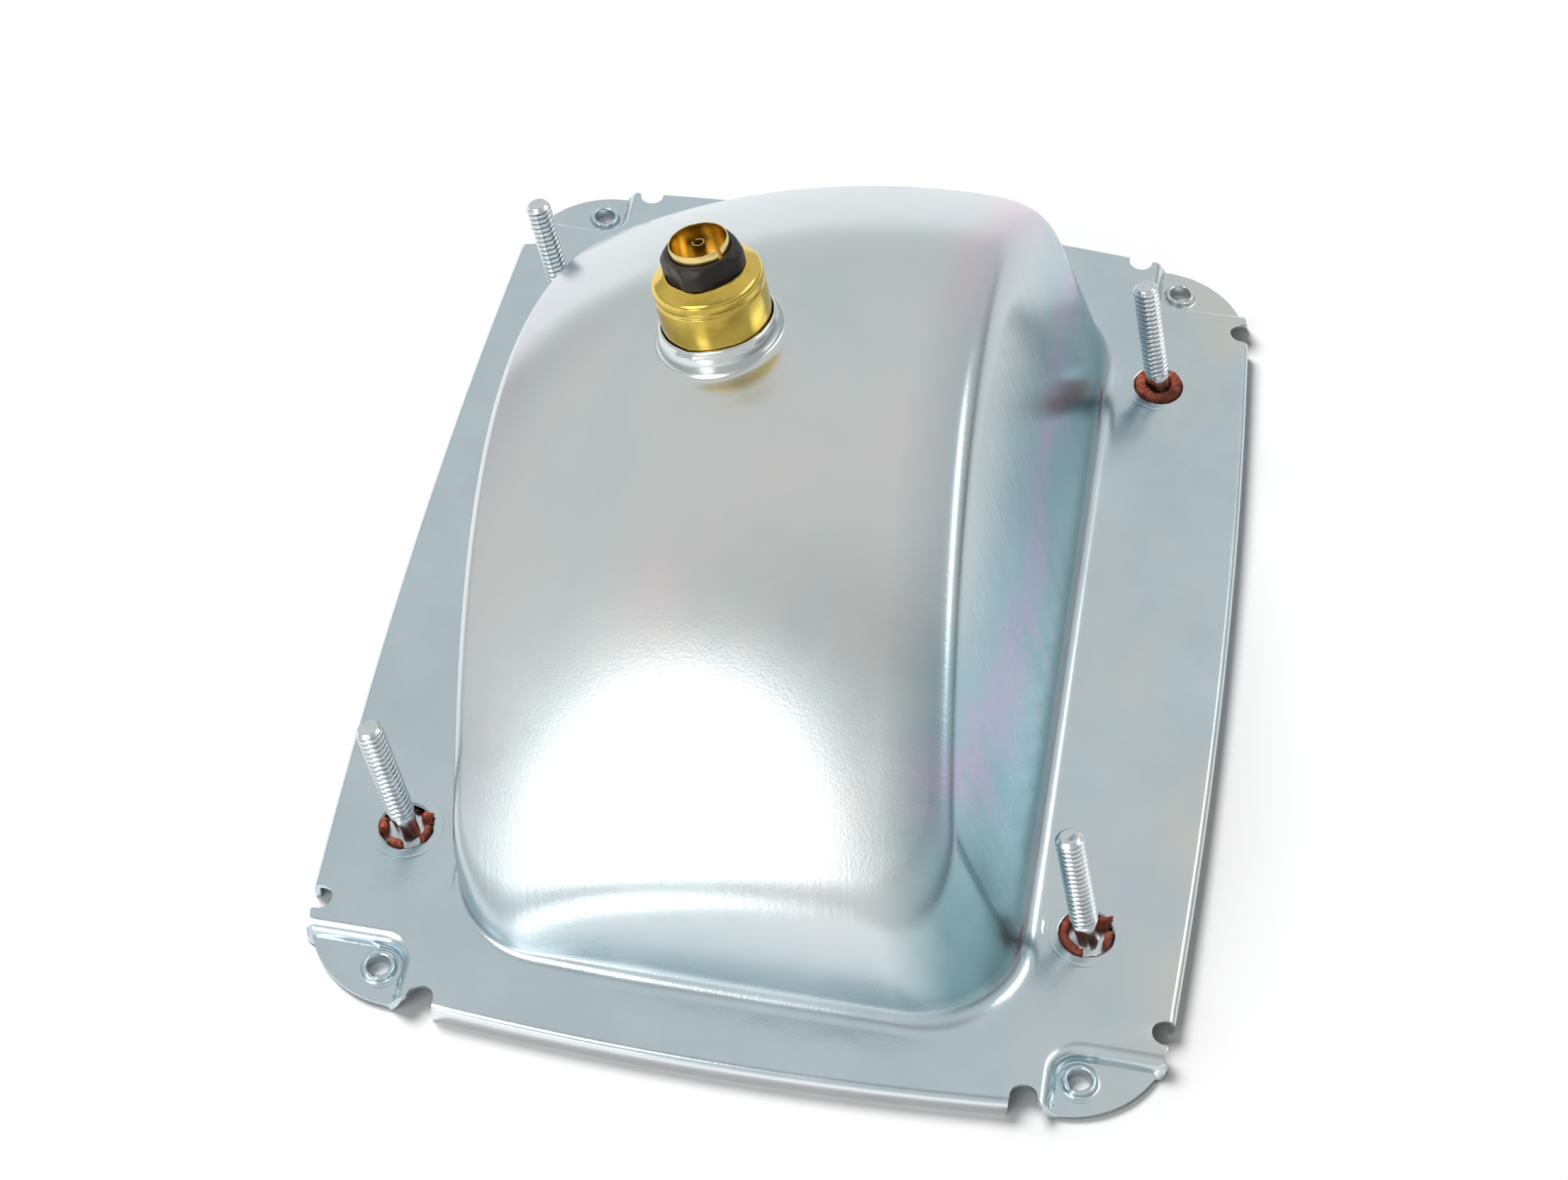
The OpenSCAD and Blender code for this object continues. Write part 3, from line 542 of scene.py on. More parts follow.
footSides = [bucket[side] for side in ("left", "right", "near", "far")]
edgeSides = inset(footSides, "inset")
footOut = [side + way * fillet for side, way in zip(footSides, (-1, 1, -1, 1))]
footRing = bucketRing(footOut, bucket["footRound"] + fillet)
wallRing = [(*p, 0.0) for p in bucketRing(footSides, bucket["footRound"])]
edgeRing = roofEdge(edgeSides, bucket["roofRound"])
roofRing = roofEdge(inset(edgeSides, "round"), bucket["roofRound"] - bucket["roundLeft"])
lowRing = [mix(w, e, min(bucket["lowMost"], fillet / math.dist(w, e))) for w, e in zip(wallRing, edgeRing)]
highRing = [mix(e, w, min(bucket["highMost"], math.dist(r, e) / math.dist(w, e)))
            for w, e, r in zip(wallRing, edgeRing, roofRing)]
bucketRings = bendRings([(*p, 0.0) for p in footRing], wallRing, lowRing, bucket["footSteps"])
bucketRings += [[mix(p, q, k / bucket["wallSteps"]) for p, q in zip(lowRing, highRing)]
                for k in range(1, bucket["wallSteps"])]
bucketRings += bendRings(highRing, edgeRing, roofRing, bucket["edgeSteps"])

# socket axis and the roof round it
socket = {"x": -7.3, "y": 4.8, "neckRadius": 11.14, "lap": 0.05, "foot": 1.3, "footRise": 0.5,
          "dip": 0.18, "dipAt": 17.0, "dipWidth": 2.4, "room": 26.0, "gridFrom": 26.5,
          "rings": (11.2, 11.35, 11.6, 11.95, 12.4, 13.0, 13.7, 14.6, 15.8, 17.2, 19.0, 21.5, 24.5)}
seat = Vector(leaned(socket["x"], socket["y"], roofHeight(socket["x"], socket["y"])))


def onSocket(x, y, s):
    return tuple(seat + leanTurn @ Vector((x, y, s)))


def offAxis(away):
    return away - drawAxis * away.dot(drawAxis)


def fromAxis(x, y):  # distance of a roof point from the socket's axis
    return offAxis(Vector(leaned(x, y, 0.0)) - seat).length


def roofWithNeck(x, y):
    z, r = roofHeight(x, y), fromAxis(x, y)
    if r >= socket["room"]:
        return z
    t = clamp((r - socket["neckRadius"]) / socket["foot"])
    rise = socket["foot"] * (1 - math.sqrt(1 - (1 - t) ** 2))
    return z + socket["footRise"] * rise - socket["dip"] * bump((r - socket["dipAt"]) / socket["dipWidth"])


def axisRing(radius):  # a circle round the axis, seen along it in the flange's plane
    ring = []
    for a in circle(72):
        p = leanTurn @ Vector((*around(0, 0, radius, a), 0))
        ring.append((socket["x"] + p.x - shearX * p.z, socket["y"] + p.y - shearY * p.z))
    return ring


roofLoop = [(p[0], p[1]) for p in roofRing]
neckLoop = axisRing(socket["neckRadius"] - socket["lap"])
roofPoints = [p for r in socket["rings"] for p in axisRing(r)]
inRoof, inNeck = insideLoop(roofLoop), insideLoop(neckLoop)
inGrid = insideLoop(bucketRing(inset(footSides, "grid"), bucket["gridRound"]))
for i in range(-16, 17):
    for j in range(-30, 31):
        x, y = bucket["gridX"] * i + (bucket["gridX"] / 2 if j % 2 else 0.0), bucket["gridY"] * j
        if inGrid(x, y) and fromAxis(x, y) > socket["gridFrom"]:
            roofPoints.append((x, y))
roofFlat, roofFaces = triangulate(roofPoints, [roofLoop, neckLoop], lambda x, y: inRoof(x, y) and not inNeck(x, y))
print("bucket and roof laid out")

# flange of the pan: outline, bends, ears and holes
flange = {"halfWidth": 76.0, "halfLength": 100.0, "sideRadius": 1400.0, "endRadius": 560.0, "bend": 1.5,
          "earX": 59.25, "earY": 90.5, "earTop": 1.2, "earIn": 4.6, "earBack": 4.8, "earCorner": 4.5,
          "stepFrom": -1.9, "stepWidth": 2.65, "stepShape": 0.6, "edgeRadius": 17.5, "edgeX": 3.4, "edgeY": 11.0,
          "notch": 2.3, "sideNotch": (13.0, 10.2), "endNotch": (8.7, 5.8), "notchStep": -12,
          "studX": 59.25, "studY": 63.5, "studShift": -2.0, "studHole": 4.5, "studRoom": 9.0,
          "sink": (0.3, 0.6), "scribe": (0.05, 6.6, 0.16), "dish": (0.12, 1.6), "gridX": 6.4, "gridY": 6.2,
          "studRings": (4.6, 4.75, 4.95, 5.2, 5.6, 6.1, 6.3, 6.42, 6.52, 6.6, 6.68, 6.78, 6.95, 7.4, 8.2),
          "earRings": (4.0, 4.4, 5.0, 6.0, 7.5), "sheet": 1.0, "edgeRound": 0.24, "edgeAngle": 62.0, "sharp": 50.0}
collars = {"bore": 1.95, "lip": 2.25, "rim": 2.75, "root": 3.0, "base": 3.7, "under": 0.2, "height": 2.6,
           "nick": 0.35, "nickFrom": 2.2, "nickWidth": 0.22, "worn": (2.05, 3.0)}
cornerNames = ("near_left", "near_right", "far_left", "far_right")
corners = ((-1, -1), (1, -1), (-1, 1), (1, 1))
earPlaces = [(sx * flange["earX"], sy * flange["earY"]) for sx, sy in corners]
studPlaces = [(flange["studShift"] + sx * flange["studX"], sy * flange["studY"]) for sx, sy in corners]


def bowed(half, radius, t):
    return half - radius + math.sqrt(radius ** 2 - t * t)


def sideEdge(y):
    return bowed(flange["halfWidth"], flange["sideRadius"], y)


def endEdge(x):
    return bowed(flange["halfLength"], flange["endRadius"], x)


notch, bend = flange["notch"], flange["bend"]
sideNotch = (flange["earX"] + flange["sideNotch"][0], flange["earY"] - flange["sideNotch"][1])
endNotch = (flange["earX"] - flange["endNotch"][0], flange["earY"] + flange["endNotch"][1])
skirtSide, skirtEnd = sideNotch[1] - notch, endNotch[0] - notch
sideSpots = [skirtSide * k / 32 for k in range(-32, 33)]
endSpots = [skirtEnd * k / 20 for k in range(-20, 21)]
earMiddle = (flange["earX"] - flange["edgeX"], flange["earY"] - flange["edgeY"])
bendSteps = [bend * (1 - math.cos(math.radians(a))) for a in (12, 24, 36, 48, 60, 75, 90)]


def notchArc(middle, first, last):
    return [around(*middle, notch, math.radians(a)) for a in range(first, last, flange["notchStep"])]


def cornerOutline():  # from the middle of the right side to the middle of the far end
    top, right = sideNotch[1] + notch, endNotch[0] + notch
    start = math.asin((top - earMiddle[1]) / flange["edgeRadius"])
    stop = math.acos((right - earMiddle[0]) / flange["edgeRadius"])
    arc = [around(*earMiddle, flange["edgeRadius"], start + (stop - start) * k / 36) for k in range(37)]
    backSpots = [skirtEnd * (1 - k / 20) for k in range(21)]
    path = [(sideEdge(y), y) for y in sideSpots[32:]]
    path += [(sideEdge(skirtSide) - d, skirtSide) for d in bendSteps]
    path += notchArc(sideNotch, -90, -271)
    path += [(arc[0][0] - 0.45, top), (arc[0][0] - 0.12, top + 0.1), (arc[1][0] - 0.05, arc[1][1] - 0.55)]
    path += arc[1:-1] + [(right + 0.5, arc[-1][1] - 0.06), (right + 0.1, arc[-1][1] - 0.2)]
    path += notchArc(endNotch, 0, -181)
    path += [(skirtEnd, endEdge(skirtEnd) - d) for d in reversed(bendSteps)]
    return path + [(x, endEdge(x)) for x in backSpots]


corner = cornerOutline()
outline = corner + [(-x, y) for x, y in reversed(corner[:-1])]
outline = outline + [(x, -y) for x, y in reversed(outline[1:-1])]


def earDepth(x, y):  # how far inside the stepped corner a point lies
    qx = flange["earX"] - flange["earIn"] + flange["earCorner"] - abs(x)
    qy = flange["earY"] - flange["earBack"] + flange["earCorner"] - abs(y)
    return flange["earCorner"] - math.hypot(max(qx, 0), max(qy, 0)) - min(max(qx, qy), 0)


def flangeHeight(x, y):
    z = rimHeight
    for edge, limit, along in ((sideEdge(y) - abs(x), skirtSide, abs(y)), (endEdge(x) - abs(y), skirtEnd, abs(x))):
        if along <= limit + 1e-4 and edge < bend:
            z -= bend - math.sqrt(max(0.0, bend ** 2 - (bend - max(edge, 0.0)) ** 2))
    t = clamp((earDepth(x, y) - flange["stepFrom"]) / flange["stepWidth"])
    z -= (z - flange["earTop"]) * (1 - (1 - t * t) ** flange["stepShape"])
    (sink, sinkOver), (dish, dishWidth) = flange["sink"], flange["dish"]
    scribe, scribeAt, scribeWidth = flange["scribe"]
    for px, py in studPlaces:
        r = math.hypot(x - px, y - py)
        if r < flange["studRoom"]:
            z -= sink * max(0.0, 1 - (r - flange["studHole"]) / sinkOver) ** 2
            z -= scribe * bump((r - scribeAt) / scribeWidth) + dish * bump((r - flange["studHole"]) / dishWidth)
    return z


def circleLoop(x, y, r, steps=56):
    return [around(x, y, r, a) for a in circle(steps)]


holeLoops, flangePoints = [], []
stepX, stepY, round4 = flange["earX"] - flange["earIn"], flange["earY"] - flange["earBack"], flange["earCorner"]
for (sx, sy), ear, hole in zip(corners, earPlaces, studPlaces):
    holeLoops += [circleLoop(*ear, collars["base"]), circleLoop(*hole, flange["studHole"])]
    for r in flange["studRings"]:
        flangePoints += circleLoop(*hole, r)
    for d in [0.16 * k for k in range(-12, 6)]:  # rows of points along the step
        row = [(stepX + d, stepY + round4 + 0.8 * n) for n in range(1, 14)]
        row += [(stepX + round4 - (round4 - d) * math.cos(a), stepY + round4 - (round4 - d) * math.sin(a))
                for a in [math.radians(10 * k) for k in range(10)]]
        row += [(stepX + round4 + 0.8 * n, stepY + d) for n in range(1, 20)]
        flangePoints += [(sx * x, sy * y) for x, y in row]
    for r in flange["earRings"]:
        flangePoints += [p for p in circleLoop(*ear, r, 40) if earDepth(*p) > 0.9]
for d in bendSteps:
    for s in (-1, 1):
        flangePoints += [(s * (sideEdge(y) - d), y) for y in sideSpots[1:-1]]
        flangePoints += [(x, s * (endEdge(x) - d)) for x in endSpots[1:-1]]
for i in range(-11, 12):
    for j in range(-15, 16):
        flangePoints.append((flange["gridX"] * i, flange["gridY"] * j + (flange["gridY"] / 2 if i % 2 else 0.0)))

inOutline, inFoot = insideLoop(outline), insideLoop(footRing)
holeTests = [insideLoop(loop) for loop in holeLoops]
edgeCells = {}
for p in outline + footRing:
    edgeCells.setdefault((round(p[0] / 2), round(p[1] / 2)), []).append(p)


def onSheet(x, y):
    return inOutline(x, y) and not inFoot(x, y) and not any(test(x, y) for test in holeTests)


def clearOfEdges(x, y, fromHole=0.2, fromEdge=0.02):
    cx, cy = round(x / 2), round(y / 2)
    close = [loop for loop in holeLoops if abs(loop[0][0] - x) < 16 and abs(loop[0][1] - y) < 16]
    edges = [q for i in (-1, 0, 1) for j in (-1, 0, 1) for q in edgeCells.get((cx + i, cy + j), ())]
    return (all(math.dist((x, y), q) > fromHole for loop in close for q in loop[::2])
            and all(math.dist((x, y), q) > fromEdge for q in edges))


flangePoints = [p for p in flangePoints if onSheet(*p) and clearOfEdges(*p)]
flangeFlat, flangeFaces = triangulate(flangePoints, [outline, footRing] + holeLoops, onSheet)
panParts = ([], [])
addPart(panParts, [(x, y, flangeHeight(x, y)) for x, y in flangeFlat], flangeFaces)
addPart(panParts, *loft([[leaned(*p) for p in ring] for ring in bucketRings]))
addPart(panParts, [leaned(x, y, roofWithNeck(x, y)) for x, y in roofFlat], roofFaces)
skirtLevels = (rimHeight - bend, 2.0, 1.2, 0.6, 0.0)
for s in (-1, 1):
    addPart(panParts, *loft([[(s * sideEdge(y), y, z) for y in sideSpots] for z in skirtLevels], closed=False))
    addPart(panParts, *loft([[(x, s * endEdge(x), z) for x in endSpots] for z in skirtLevels], closed=False))
panSkin = makeObject("panSkin", *panParts, zincSheet, sharp=flange["sharp"], join=4e-6)
if panSkin.data.polygons[0].normal.z < 0:
    panSkin.data.flip_normals()
thick = panSkin.modifiers.new("sheet", "SOLIDIFY")
thick.thickness, thick.offset = flange["sheet"] * mm, -1.0
thick.use_even_offset = thick.use_quality_normals = True
edge = panSkin.modifiers.new("edge", "BEVEL")
edge.width, edge.segments = flange["edgeRound"] * mm, 2
edge.limit_method, edge.angle_limit = "ANGLE", math.radians(flange["edgeAngle"])
edge.use_clamp_overlap, edge.harden_normals = True, False
bakeModifiers(panSkin)
panSkin.data.set_sharp_from_angle(angle=math.radians(flange["sharp"]))
print("pan skin", len(panSkin.data.polygons), "faces")

# the neck that holds the socket, with its staked lip, and the collars of the ears
neck = {"stakes": 5, "stakeDepth": 0.18, "stakeWidth": 0.16, "lipFrom": 2.0, "lipInside": 10.9,
        "profile": ((9.86, -1.1, 0), (11.2, -1.1, 0), (11.2, 0.6, 0.35), (10.95, 1.7, 0.5), (10.35, 2.9, 0.35),
                    (10.0, 3.1, 0.15), (9.86, 2.7, 0.2), (9.86, -1.1, 0))}


def stakedLip(a, r, s):
    if s < neck["lipFrom"] or r > neck["lipInside"]:
        return r + 0.03 * wave(a, 1.0) * (s > 1), s
    spots = [0.5 + 2 * math.pi * n / neck["stakes"] + 0.25 * math.sin(3 * n) for n in range(neck["stakes"])]
    dent = sum(bump(angleFrom(a, spot) / neck["stakeWidth"]) for spot in spots)
    return r + 0.08 * wave(a, 2.0) * (r > 10.0), s - neck["stakeDepth"] * min(1.0, dent) - 0.1 * wave(2 * a, 3.0)


def nickedRim(turn):
    def shape(a, r, s):
        dip = bump(angleFrom(a, -math.pi / 2 - 0.3 * turn) / collars["nickWidth"]) if s > collars["nickFrom"] else 0.0
        worn = 0.06 * wave(a, turn) if collars["worn"][0] < r < collars["worn"][1] else 0.0
        return r + worn, s - collars["nick"] * dip
    return shape


neckPath = roundedPath(neck["profile"])
neckRing = makeObject("neckRing", *spin(neckPath, 144, onSocket, stakedLip), zincSheet, sharp=45.0)
bore, under, top = collars["bore"], collars["under"], collars["height"]
collarPath = roundedPath([(bore, under, 0), (collars["base"], under, 0), (collars["base"], flange["earTop"], 0),
                          (collars["root"], flange["earTop"] + 0.14, 0.9), (collars["rim"], top - 0.1, 0.3),
                          (collars["lip"], top, 0.12), (bore, top - 0.25, 0.2), (bore, under, 0)])
collarParts = ([], [])
for (sx, sy), ear in zip(corners, earPlaces):
    addPart(collarParts, *spin(collarPath, 56, standing(*ear), nickedRim(math.atan2(-sy, -sx))))
earCollars = makeObject("earCollars", *collarParts, zincSheet, sharp=45.0)
print("neck and collars made")


# node trees: each has named inputs, and realises and paints what it makes
def makeTree(name, inputs, build):
    tree = bpy.data.node_groups.new(name, "GeometryNodeTree")
    for label, kind in (("Geometry", "Geometry"), *inputs, ("Material", "Material")):
        tree.interface.new_socket(label, in_out="INPUT", socket_type="NodeSocket" + kind)
    tree.interface.new_socket("Geometry", in_out="OUTPUT", socket_type="NodeSocketGeometry")
    given, out = tree.nodes.new("NodeGroupInput"), tree.nodes.new("NodeGroupOutput")
    real, paint = tree.nodes.new("GeometryNodeRealizeInstances"), tree.nodes.new("GeometryNodeSetMaterial")
    links, made = build(tree.nodes.new, given.outputs)
    links += [(made, real.inputs["Geometry"]), (real.outputs["Geometry"], paint.inputs["Geometry"]),
              (given.outputs["Material"], paint.inputs["Material"]),
              (paint.outputs["Geometry"], out.inputs["Geometry"])]
    for source, target in links:
        tree.links.new(source, target)
    return tree


def growPiece(name, mesh, tree, values):
    piece = bpy.data.objects.new(name, mesh)
    scene.collection.objects.link(piece)
    setter = piece.modifiers.new("tree", "NODES")
    setter.node_group = tree
    for item in tree.interface.items_tree:
        if item.in_out == "INPUT" and item.name in values:
            setter[item.identifier] = values[item.name]
    return bakeModifiers(piece)


# studs: one thread, set at the corners by a node tree
stud = {"radius": 2.415, "pitch": 1.058, "depth": 0.5, "length": 24.0, "neck": 3.2, "neckRadius": 1.98, "flats": 4,
        "flatOut": 1.22, "runOut": 0.1, "runOutSlope": 0.75, "tipLength": 0.75, "tipSlope": 0.95, "sides": 32,
        "tip": ((0.86, 0.0), (0.45, 0.0), (0.36, 0.1), (0.22, 0.22), (0.02, 0.25)), "turns": (0.15, 0.62, 2.1, 3.4),
        "neckRows": ((-2.2, 1.0), (-0.6, 1.0), (0.3, 1.0), (1.0, 1.03), (1.9, 1.09), (2.5, 1.12), (2.9, 1.07),
                     (3.08, 1.0)),
        "head": ((0.05, 1.2, 0), (6.45, 1.2, 0.4), (6.45, 2.4, 0.2), (0.05, 2.4, 0))}


def studMesh():
    radius, neckRadius, stop, angles = stud["radius"], stud["neckRadius"], stud["length"], circle(stud["sides"])
    start, half = stud["neck"] - stud["runOut"], math.pi / stud["flats"]
    rows = []
    for z, grow in stud["neckRows"]:
        flats = [math.cos(half) / math.cos(a % (2 * half) - half) for a in angles]
        rows.append([(*around(0, 0, neckRadius * grow * min(1.0, flat * stud["flatOut"]), a), z)
                     for flat, a in zip(flats, angles)])
    count = int((stop - start) / (stud["pitch"] / 8))
    for k in range(count + 1):
        z = start + (stop - start) * k / count
        ring = []
        for i, a in enumerate(angles):
            root = abs(2 * ((z / stud["pitch"] - i / stud["sides"]) % 1.0) - 1)  # 1 at the root, 0 at the crest
            r = min(radius - stud["depth"] * smooth(root * 2.0 - 0.95),
                    neckRadius + stud["runOutSlope"] * (z - start),
                    radius - stud["tipSlope"] * max(0.0, z - (stop - stud["tipLength"])))
            ring.append((*around(0, 0, r, a), z))
        rows.append(ring)
    rows += [[(x * share, y * share, stop - d) for x, y, _ in ring] for share, d in stud["tip"]]
    verts, faces = loft(rows)
    return verts, faces + [tuple(range(len(verts) - len(angles), len(verts)))]


def cornerNodes(add, given):
    info, place, turn = (add("GeometryNode" + kind) for kind in ("ObjectInfo", "InstanceOnPoints", "RotateInstances"))
    named, angle = add("GeometryNodeInputNamedAttribute"), add("FunctionNodeAxisAngleToRotation")
    named.data_type = "FLOAT"
    named.inputs["Name"].default_value = "turn"
    return [(given["Template"], info.inputs["Object"]), (given["Geometry"], place.inputs["Points"]),
            (info.outputs["Geometry"], place.inputs["Instance"]), (given["Lean"], place.inputs["Rotation"]),
            (named.outputs["Attribute"], angle.inputs["Angle"]),
            (place.outputs["Instances"], turn.inputs["Instances"]),
            (angle.outputs["Rotation"], turn.inputs["Rotation"])], turn.outputs["Instances"]


studTemplate = makeObject("studTemplate", *studMesh(), studZinc, sharp=50.0)
# the thread UV map keeps how deep each point lies in the thread, which the stud finish uses to paint shade into the
# roots
threadMap = studTemplate.data.uv_layers.new(name="thread")
for loop in studTemplate.data.loops:
    at = studTemplate.data.vertices[loop.vertex_index].co / mm
    threaded = stud["neck"] + 0.6 < at.z < stud["length"] - 0.8
    cut = (stud["radius"] - math.hypot(at.x, at.y)) / stud["depth"] if threaded else 0.0
    threadMap.data[loop.index].uv = (at.z / stud["length"], clamp(cut))
cornerMesh = bpy.data.meshes.new("studs")
cornerMesh.from_pydata([Vector((*p, rimHeight)) * mm for p in studPlaces], [], [])
turns = cornerMesh.attributes.new("turn", "FLOAT", "POINT")
for item, value in zip(turns.data, stud["turns"]):
    item.value = value
cornerTree = makeTree("studsAtCorners", (("Template", "Object"), ("Lean", "Rotation")), cornerNodes)
studs = growPiece("studs", cornerMesh, cornerTree,
                  {"Template": studTemplate, "Lean": tuple(leanEuler), "Material": studZinc})
bpy.data.objects.remove(studTemplate)
headParts = ([], [])
for hole in studPlaces:
    addPart(headParts, *spin(roundedPath(stud["head"]), 64, standing(*hole)))
studHeads = makeObject("studHeads", *headParts, studZinc, sharp=45.0)
print("studs made")

# seals: each lip is torn in its own way, and what is left stands as pieces round the hole
seal = {"flangeUnder": 3.18, "steps": 150, "frayed": 7.0, "washerTop": 3.5, "inner": 4.0, "least": 2.3,
        "lipFrom": 4.3, "lipTop": 5.0,
        "profile": ((3.15, 2.42), (6.15, 2.42), (6.15, 3.18), (4.44, 3.18), (4.44, 4.1), (4.42, 4.5), (4.2, 4.72),
                    (3.85, 4.78), (3.45, 4.6), (3.2, 4.2), (3.15, 2.42)),
        "left": {"near_left": ((38, 15), (-14, 22), (188, 17), (258, 20)),
                 "near_right": ((188, 78), (50, 13), (-4, 18)), "far_left": ((180, 200),), "far_right": ((205, 118), (-18, 78))},
        "spikes": {"near_left": (33, 6.0, 0.75), "near_right": (42, 5.0, 1.15),
                   "far_left": (90, 5.0, 0.1), "far_right": (70, 8.0, 0.3)},
        "tight": {"near_left": 0.0, "near_right": 0.05, "far_left": 0.75, "far_right": 0.8}}


def degreesFrom(a, at):
    return abs(math.degrees(angleFrom(a, math.radians(at))))


def tornSeal(name, seed):
    spikeAt, spikeWide, spikeOut = seal["spikes"][name]
    low = seal["flangeUnder"] + 0.02

    def shape(a, r, s):
        rag = 4.0 * wave(3 * a, seed) + 2.5 * wave(7 * a, seed + 2)
        kept = max(smooth((half + rag - degreesFrom(a, at)) / seal["frayed"] + 0.5)
                   for at, half in seal["left"][name])
        spike = bump(degreesFrom(a, spikeAt) / spikeWide)
        if s < seal["washerTop"]:
            return (r + (1 - kept) * 1.5 if r < seal["inner"] else r), s
        ragged = s + 0.16 * wave(2 * a, seed) + 0.12 * wave(9 * a, seed + 1) + 0.2 * spike
        top = min(low + (ragged - low) * kept, seal["lipTop"])
        if r < seal["inner"]:
            r += 0.2 * wave(3 * a, seed + 1) + 0.15 * wave(8 * a, seed) - seal["tight"][name] + (1 - kept) * 1.0
            return max(seal["least"], r), top
        if s > seal["lipFrom"]:
            r += spikeOut * spike * kept + 0.06 * wave(6 * a, seed)
        return r, top
    return shape


sealPieces = {}
for name, (sx, sy), hole in zip(cornerNames, corners, studPlaces):
    torn = spin(seal["profile"], seal["steps"], standing(*hole), tornSeal(name, 1.7 * sx + 3.1 * sy))
    sealPieces[name] = makeObject("seal_" + name + "_torn", *torn, sealRubber, sharp=60.0)
print("seals made")

# brass shell, bush and terminals on the socket's axis
shell = {"wall": 0.6, "barrel": 7.8, "barrelEnd": -19.0, "barrelTop": 1.2, "pinLevel": -10.14, "pinOffset": 3.0,
         "pinReach": 8.9, "slot": 3.0, "plunge": 2.5, "turn": 25.0,
         "profile": ((7.82, 1.0, 0), (9.75, 0.9, 0.5), (9.75, 9.3, 0.3), (9.55, 9.7, 0.25), (9.55, 10.1, 0.25),
                     (9.8, 10.45, 0.35), (9.8, 12.1, 1.3), (7.3, 13.5, 0.3), (6.85, 13.6, 0.2), (6.75, 13.2, 0.1),
                     (6.75, 12.7, 0.0), (9.2, 11.4, 1.2), (9.2, 1.5, 0.3), (7.82, 1.5, 0.0), (7.82, 1.0, 0))}
barrelOut = shell["barrel"] + shell["wall"]


def shellWear(a, r, s):
    if s < 1.2 and r > 9.0:  # foot
        return r, s + 0.05 * wave(3 * a, 1.0)
    if r < 7.4 and s > 12.5:  # mouth
        return r + 0.04 * wave(2 * a, 0.4), s + 0.06 * wave(3 * a, 1.2)
    return r, s


def bayonetWindows():  # limits of the slots as angles in degrees and heights
    half, turn = shell["slot"] / 2, shell["turn"]
    reach = shell["pinReach"] * math.sin(math.radians(turn / 2)) + half
    turned, entry = math.degrees(math.asin(reach / barrelOut)), math.degrees(math.asin(half / barrelOut))
    for middle, level in ((0.0, shell["pinLevel"]), (180.0, shell["pinLevel"] - shell["pinOffset"])):
        yield middle - turn / 2, turned, level - half, level + half + shell["plunge"]
        yield middle - turn, entry, shell["barrelEnd"] - 1.0, level


def barrelMesh():
    windows, end = list(bayonetWindows()), shell["barrelEnd"]
    sides = {(m + side * half) % 360 for m, half, _, _ in windows for side in (-1, 1)}
    limits = {z for _, _, low, high in windows for z in (low, high) if z > end}
    angles = sorted({5.0 * k for k in range(72)} | sides)
    levels = sorted({end + k for k in range(19)} | {shell["barrelTop"]} | limits)
    n = len(angles)
    verts, faces = loft([[onSocket(*around(0, 0, barrelOut, math.radians(a)), z) for a in angles] for z in levels])
    kept = []
    for f, face in enumerate(faces):
        k, i = divmod(f, n)
        a, z = angles[i] + 0.5 * ((angles[(i + 1) % n] - angles[i]) % 360), (levels[k] + levels[k + 1]) / 2
        if not any(abs(math.remainder(a - m, 360)) < half and low < z < high for m, half, low, high in windows):
            kept.append(face)
    return verts, kept


shellPath = roundedPath(shell["profile"], steps=7)
shellCap = makeObject("shellCap", *spin(shellPath, 160, onSocket, shellWear), shellBrass, sharp=48.0)
shellBarrel = makeObject("shellBarrel", *barrelMesh(), shellBrass, sharp=40.0)
firstFace = shellBarrel.data.polygons[0]
if firstFace.normal.dot(offAxis(firstFace.center - seat * mm)) < 0:
    shellBarrel.data.flip_normals()
wallOf = shellBarrel.modifiers.new("wall", "SOLIDIFY")
wallOf.thickness, wallOf.offset = shell["wall"] * mm, -1.0
bakeModifiers(shellBarrel)

bush = {"radius": 7.35, "flats": 6.25, "turn": 43.0, "top": 17.6, "chamfer": 1.5, "slope": 0.78, "soft": 60.0,
        "foot": ((1.3, 8.56), (7.55, 8.56), (7.55, 11.74), (6.66, 11.76), (6.66, 13.64)), "side": 7.15,
        "levels": (13.7, 13.8, 14.0, 14.4, 14.9, 15.4, 15.7, 16.0, 16.3, 16.6, 16.9, 17.15, 17.35, 17.5),
        "mouth": ((6.0, 17.6), (5.6, 17.6), (5.42, 17.5), (5.36, 17.2), (5.36, 11.2), (1.3, 11.2), (1.3, 8.56))}


def bushShape(a, r, s):  # four flats with rounded corners above the waist
    if r <= 6.7 or s <= 13.5:
        return r, s
    t, soft = a - math.radians(bush["turn"]), bush["soft"]
    flat = bush["flats"] / max(abs(math.cos(t)), abs(math.sin(t)))
    cone = bush["radius"] + 0.15 - max(0.0, s - (bush["top"] - bush["chamfer"])) * bush["slope"]
    return (flat ** -soft + bush["radius"] ** -soft + cone ** -soft) ** (-1 / soft), s


bushPath = [*bush["foot"], *((bush["side"], s) for s in bush["levels"]), *bush["mouth"]]
bushPiece = makeObject("bushBlock", *spin(bushPath, 192, onSocket, bushShape), bushMoulding, sharp=40.0)

ringTerminal = {"radius": 5.3, "wall": 0.42, "low": 9.9, "top": 19.2, "slit": -35.0, "gap": 0.8, "flare": 0.2,
                "turnsIn": 0.0, "steps": 120, "nicks": 0.1}
ringFoot = {"profile": ((2.0, 12.7), (4.86, 12.7), (4.86, 13.0), (2.0, 13.0), (2.0, 12.7))}
pinTerminal = {"radius": 1.25, "wall": 0.38, "low": 7.6, "top": 18.8, "slit": 150.0, "gap": 0.7, "flare": 0.0,
               "turnsIn": 0.14, "steps": 60, "nicks": 0.0}


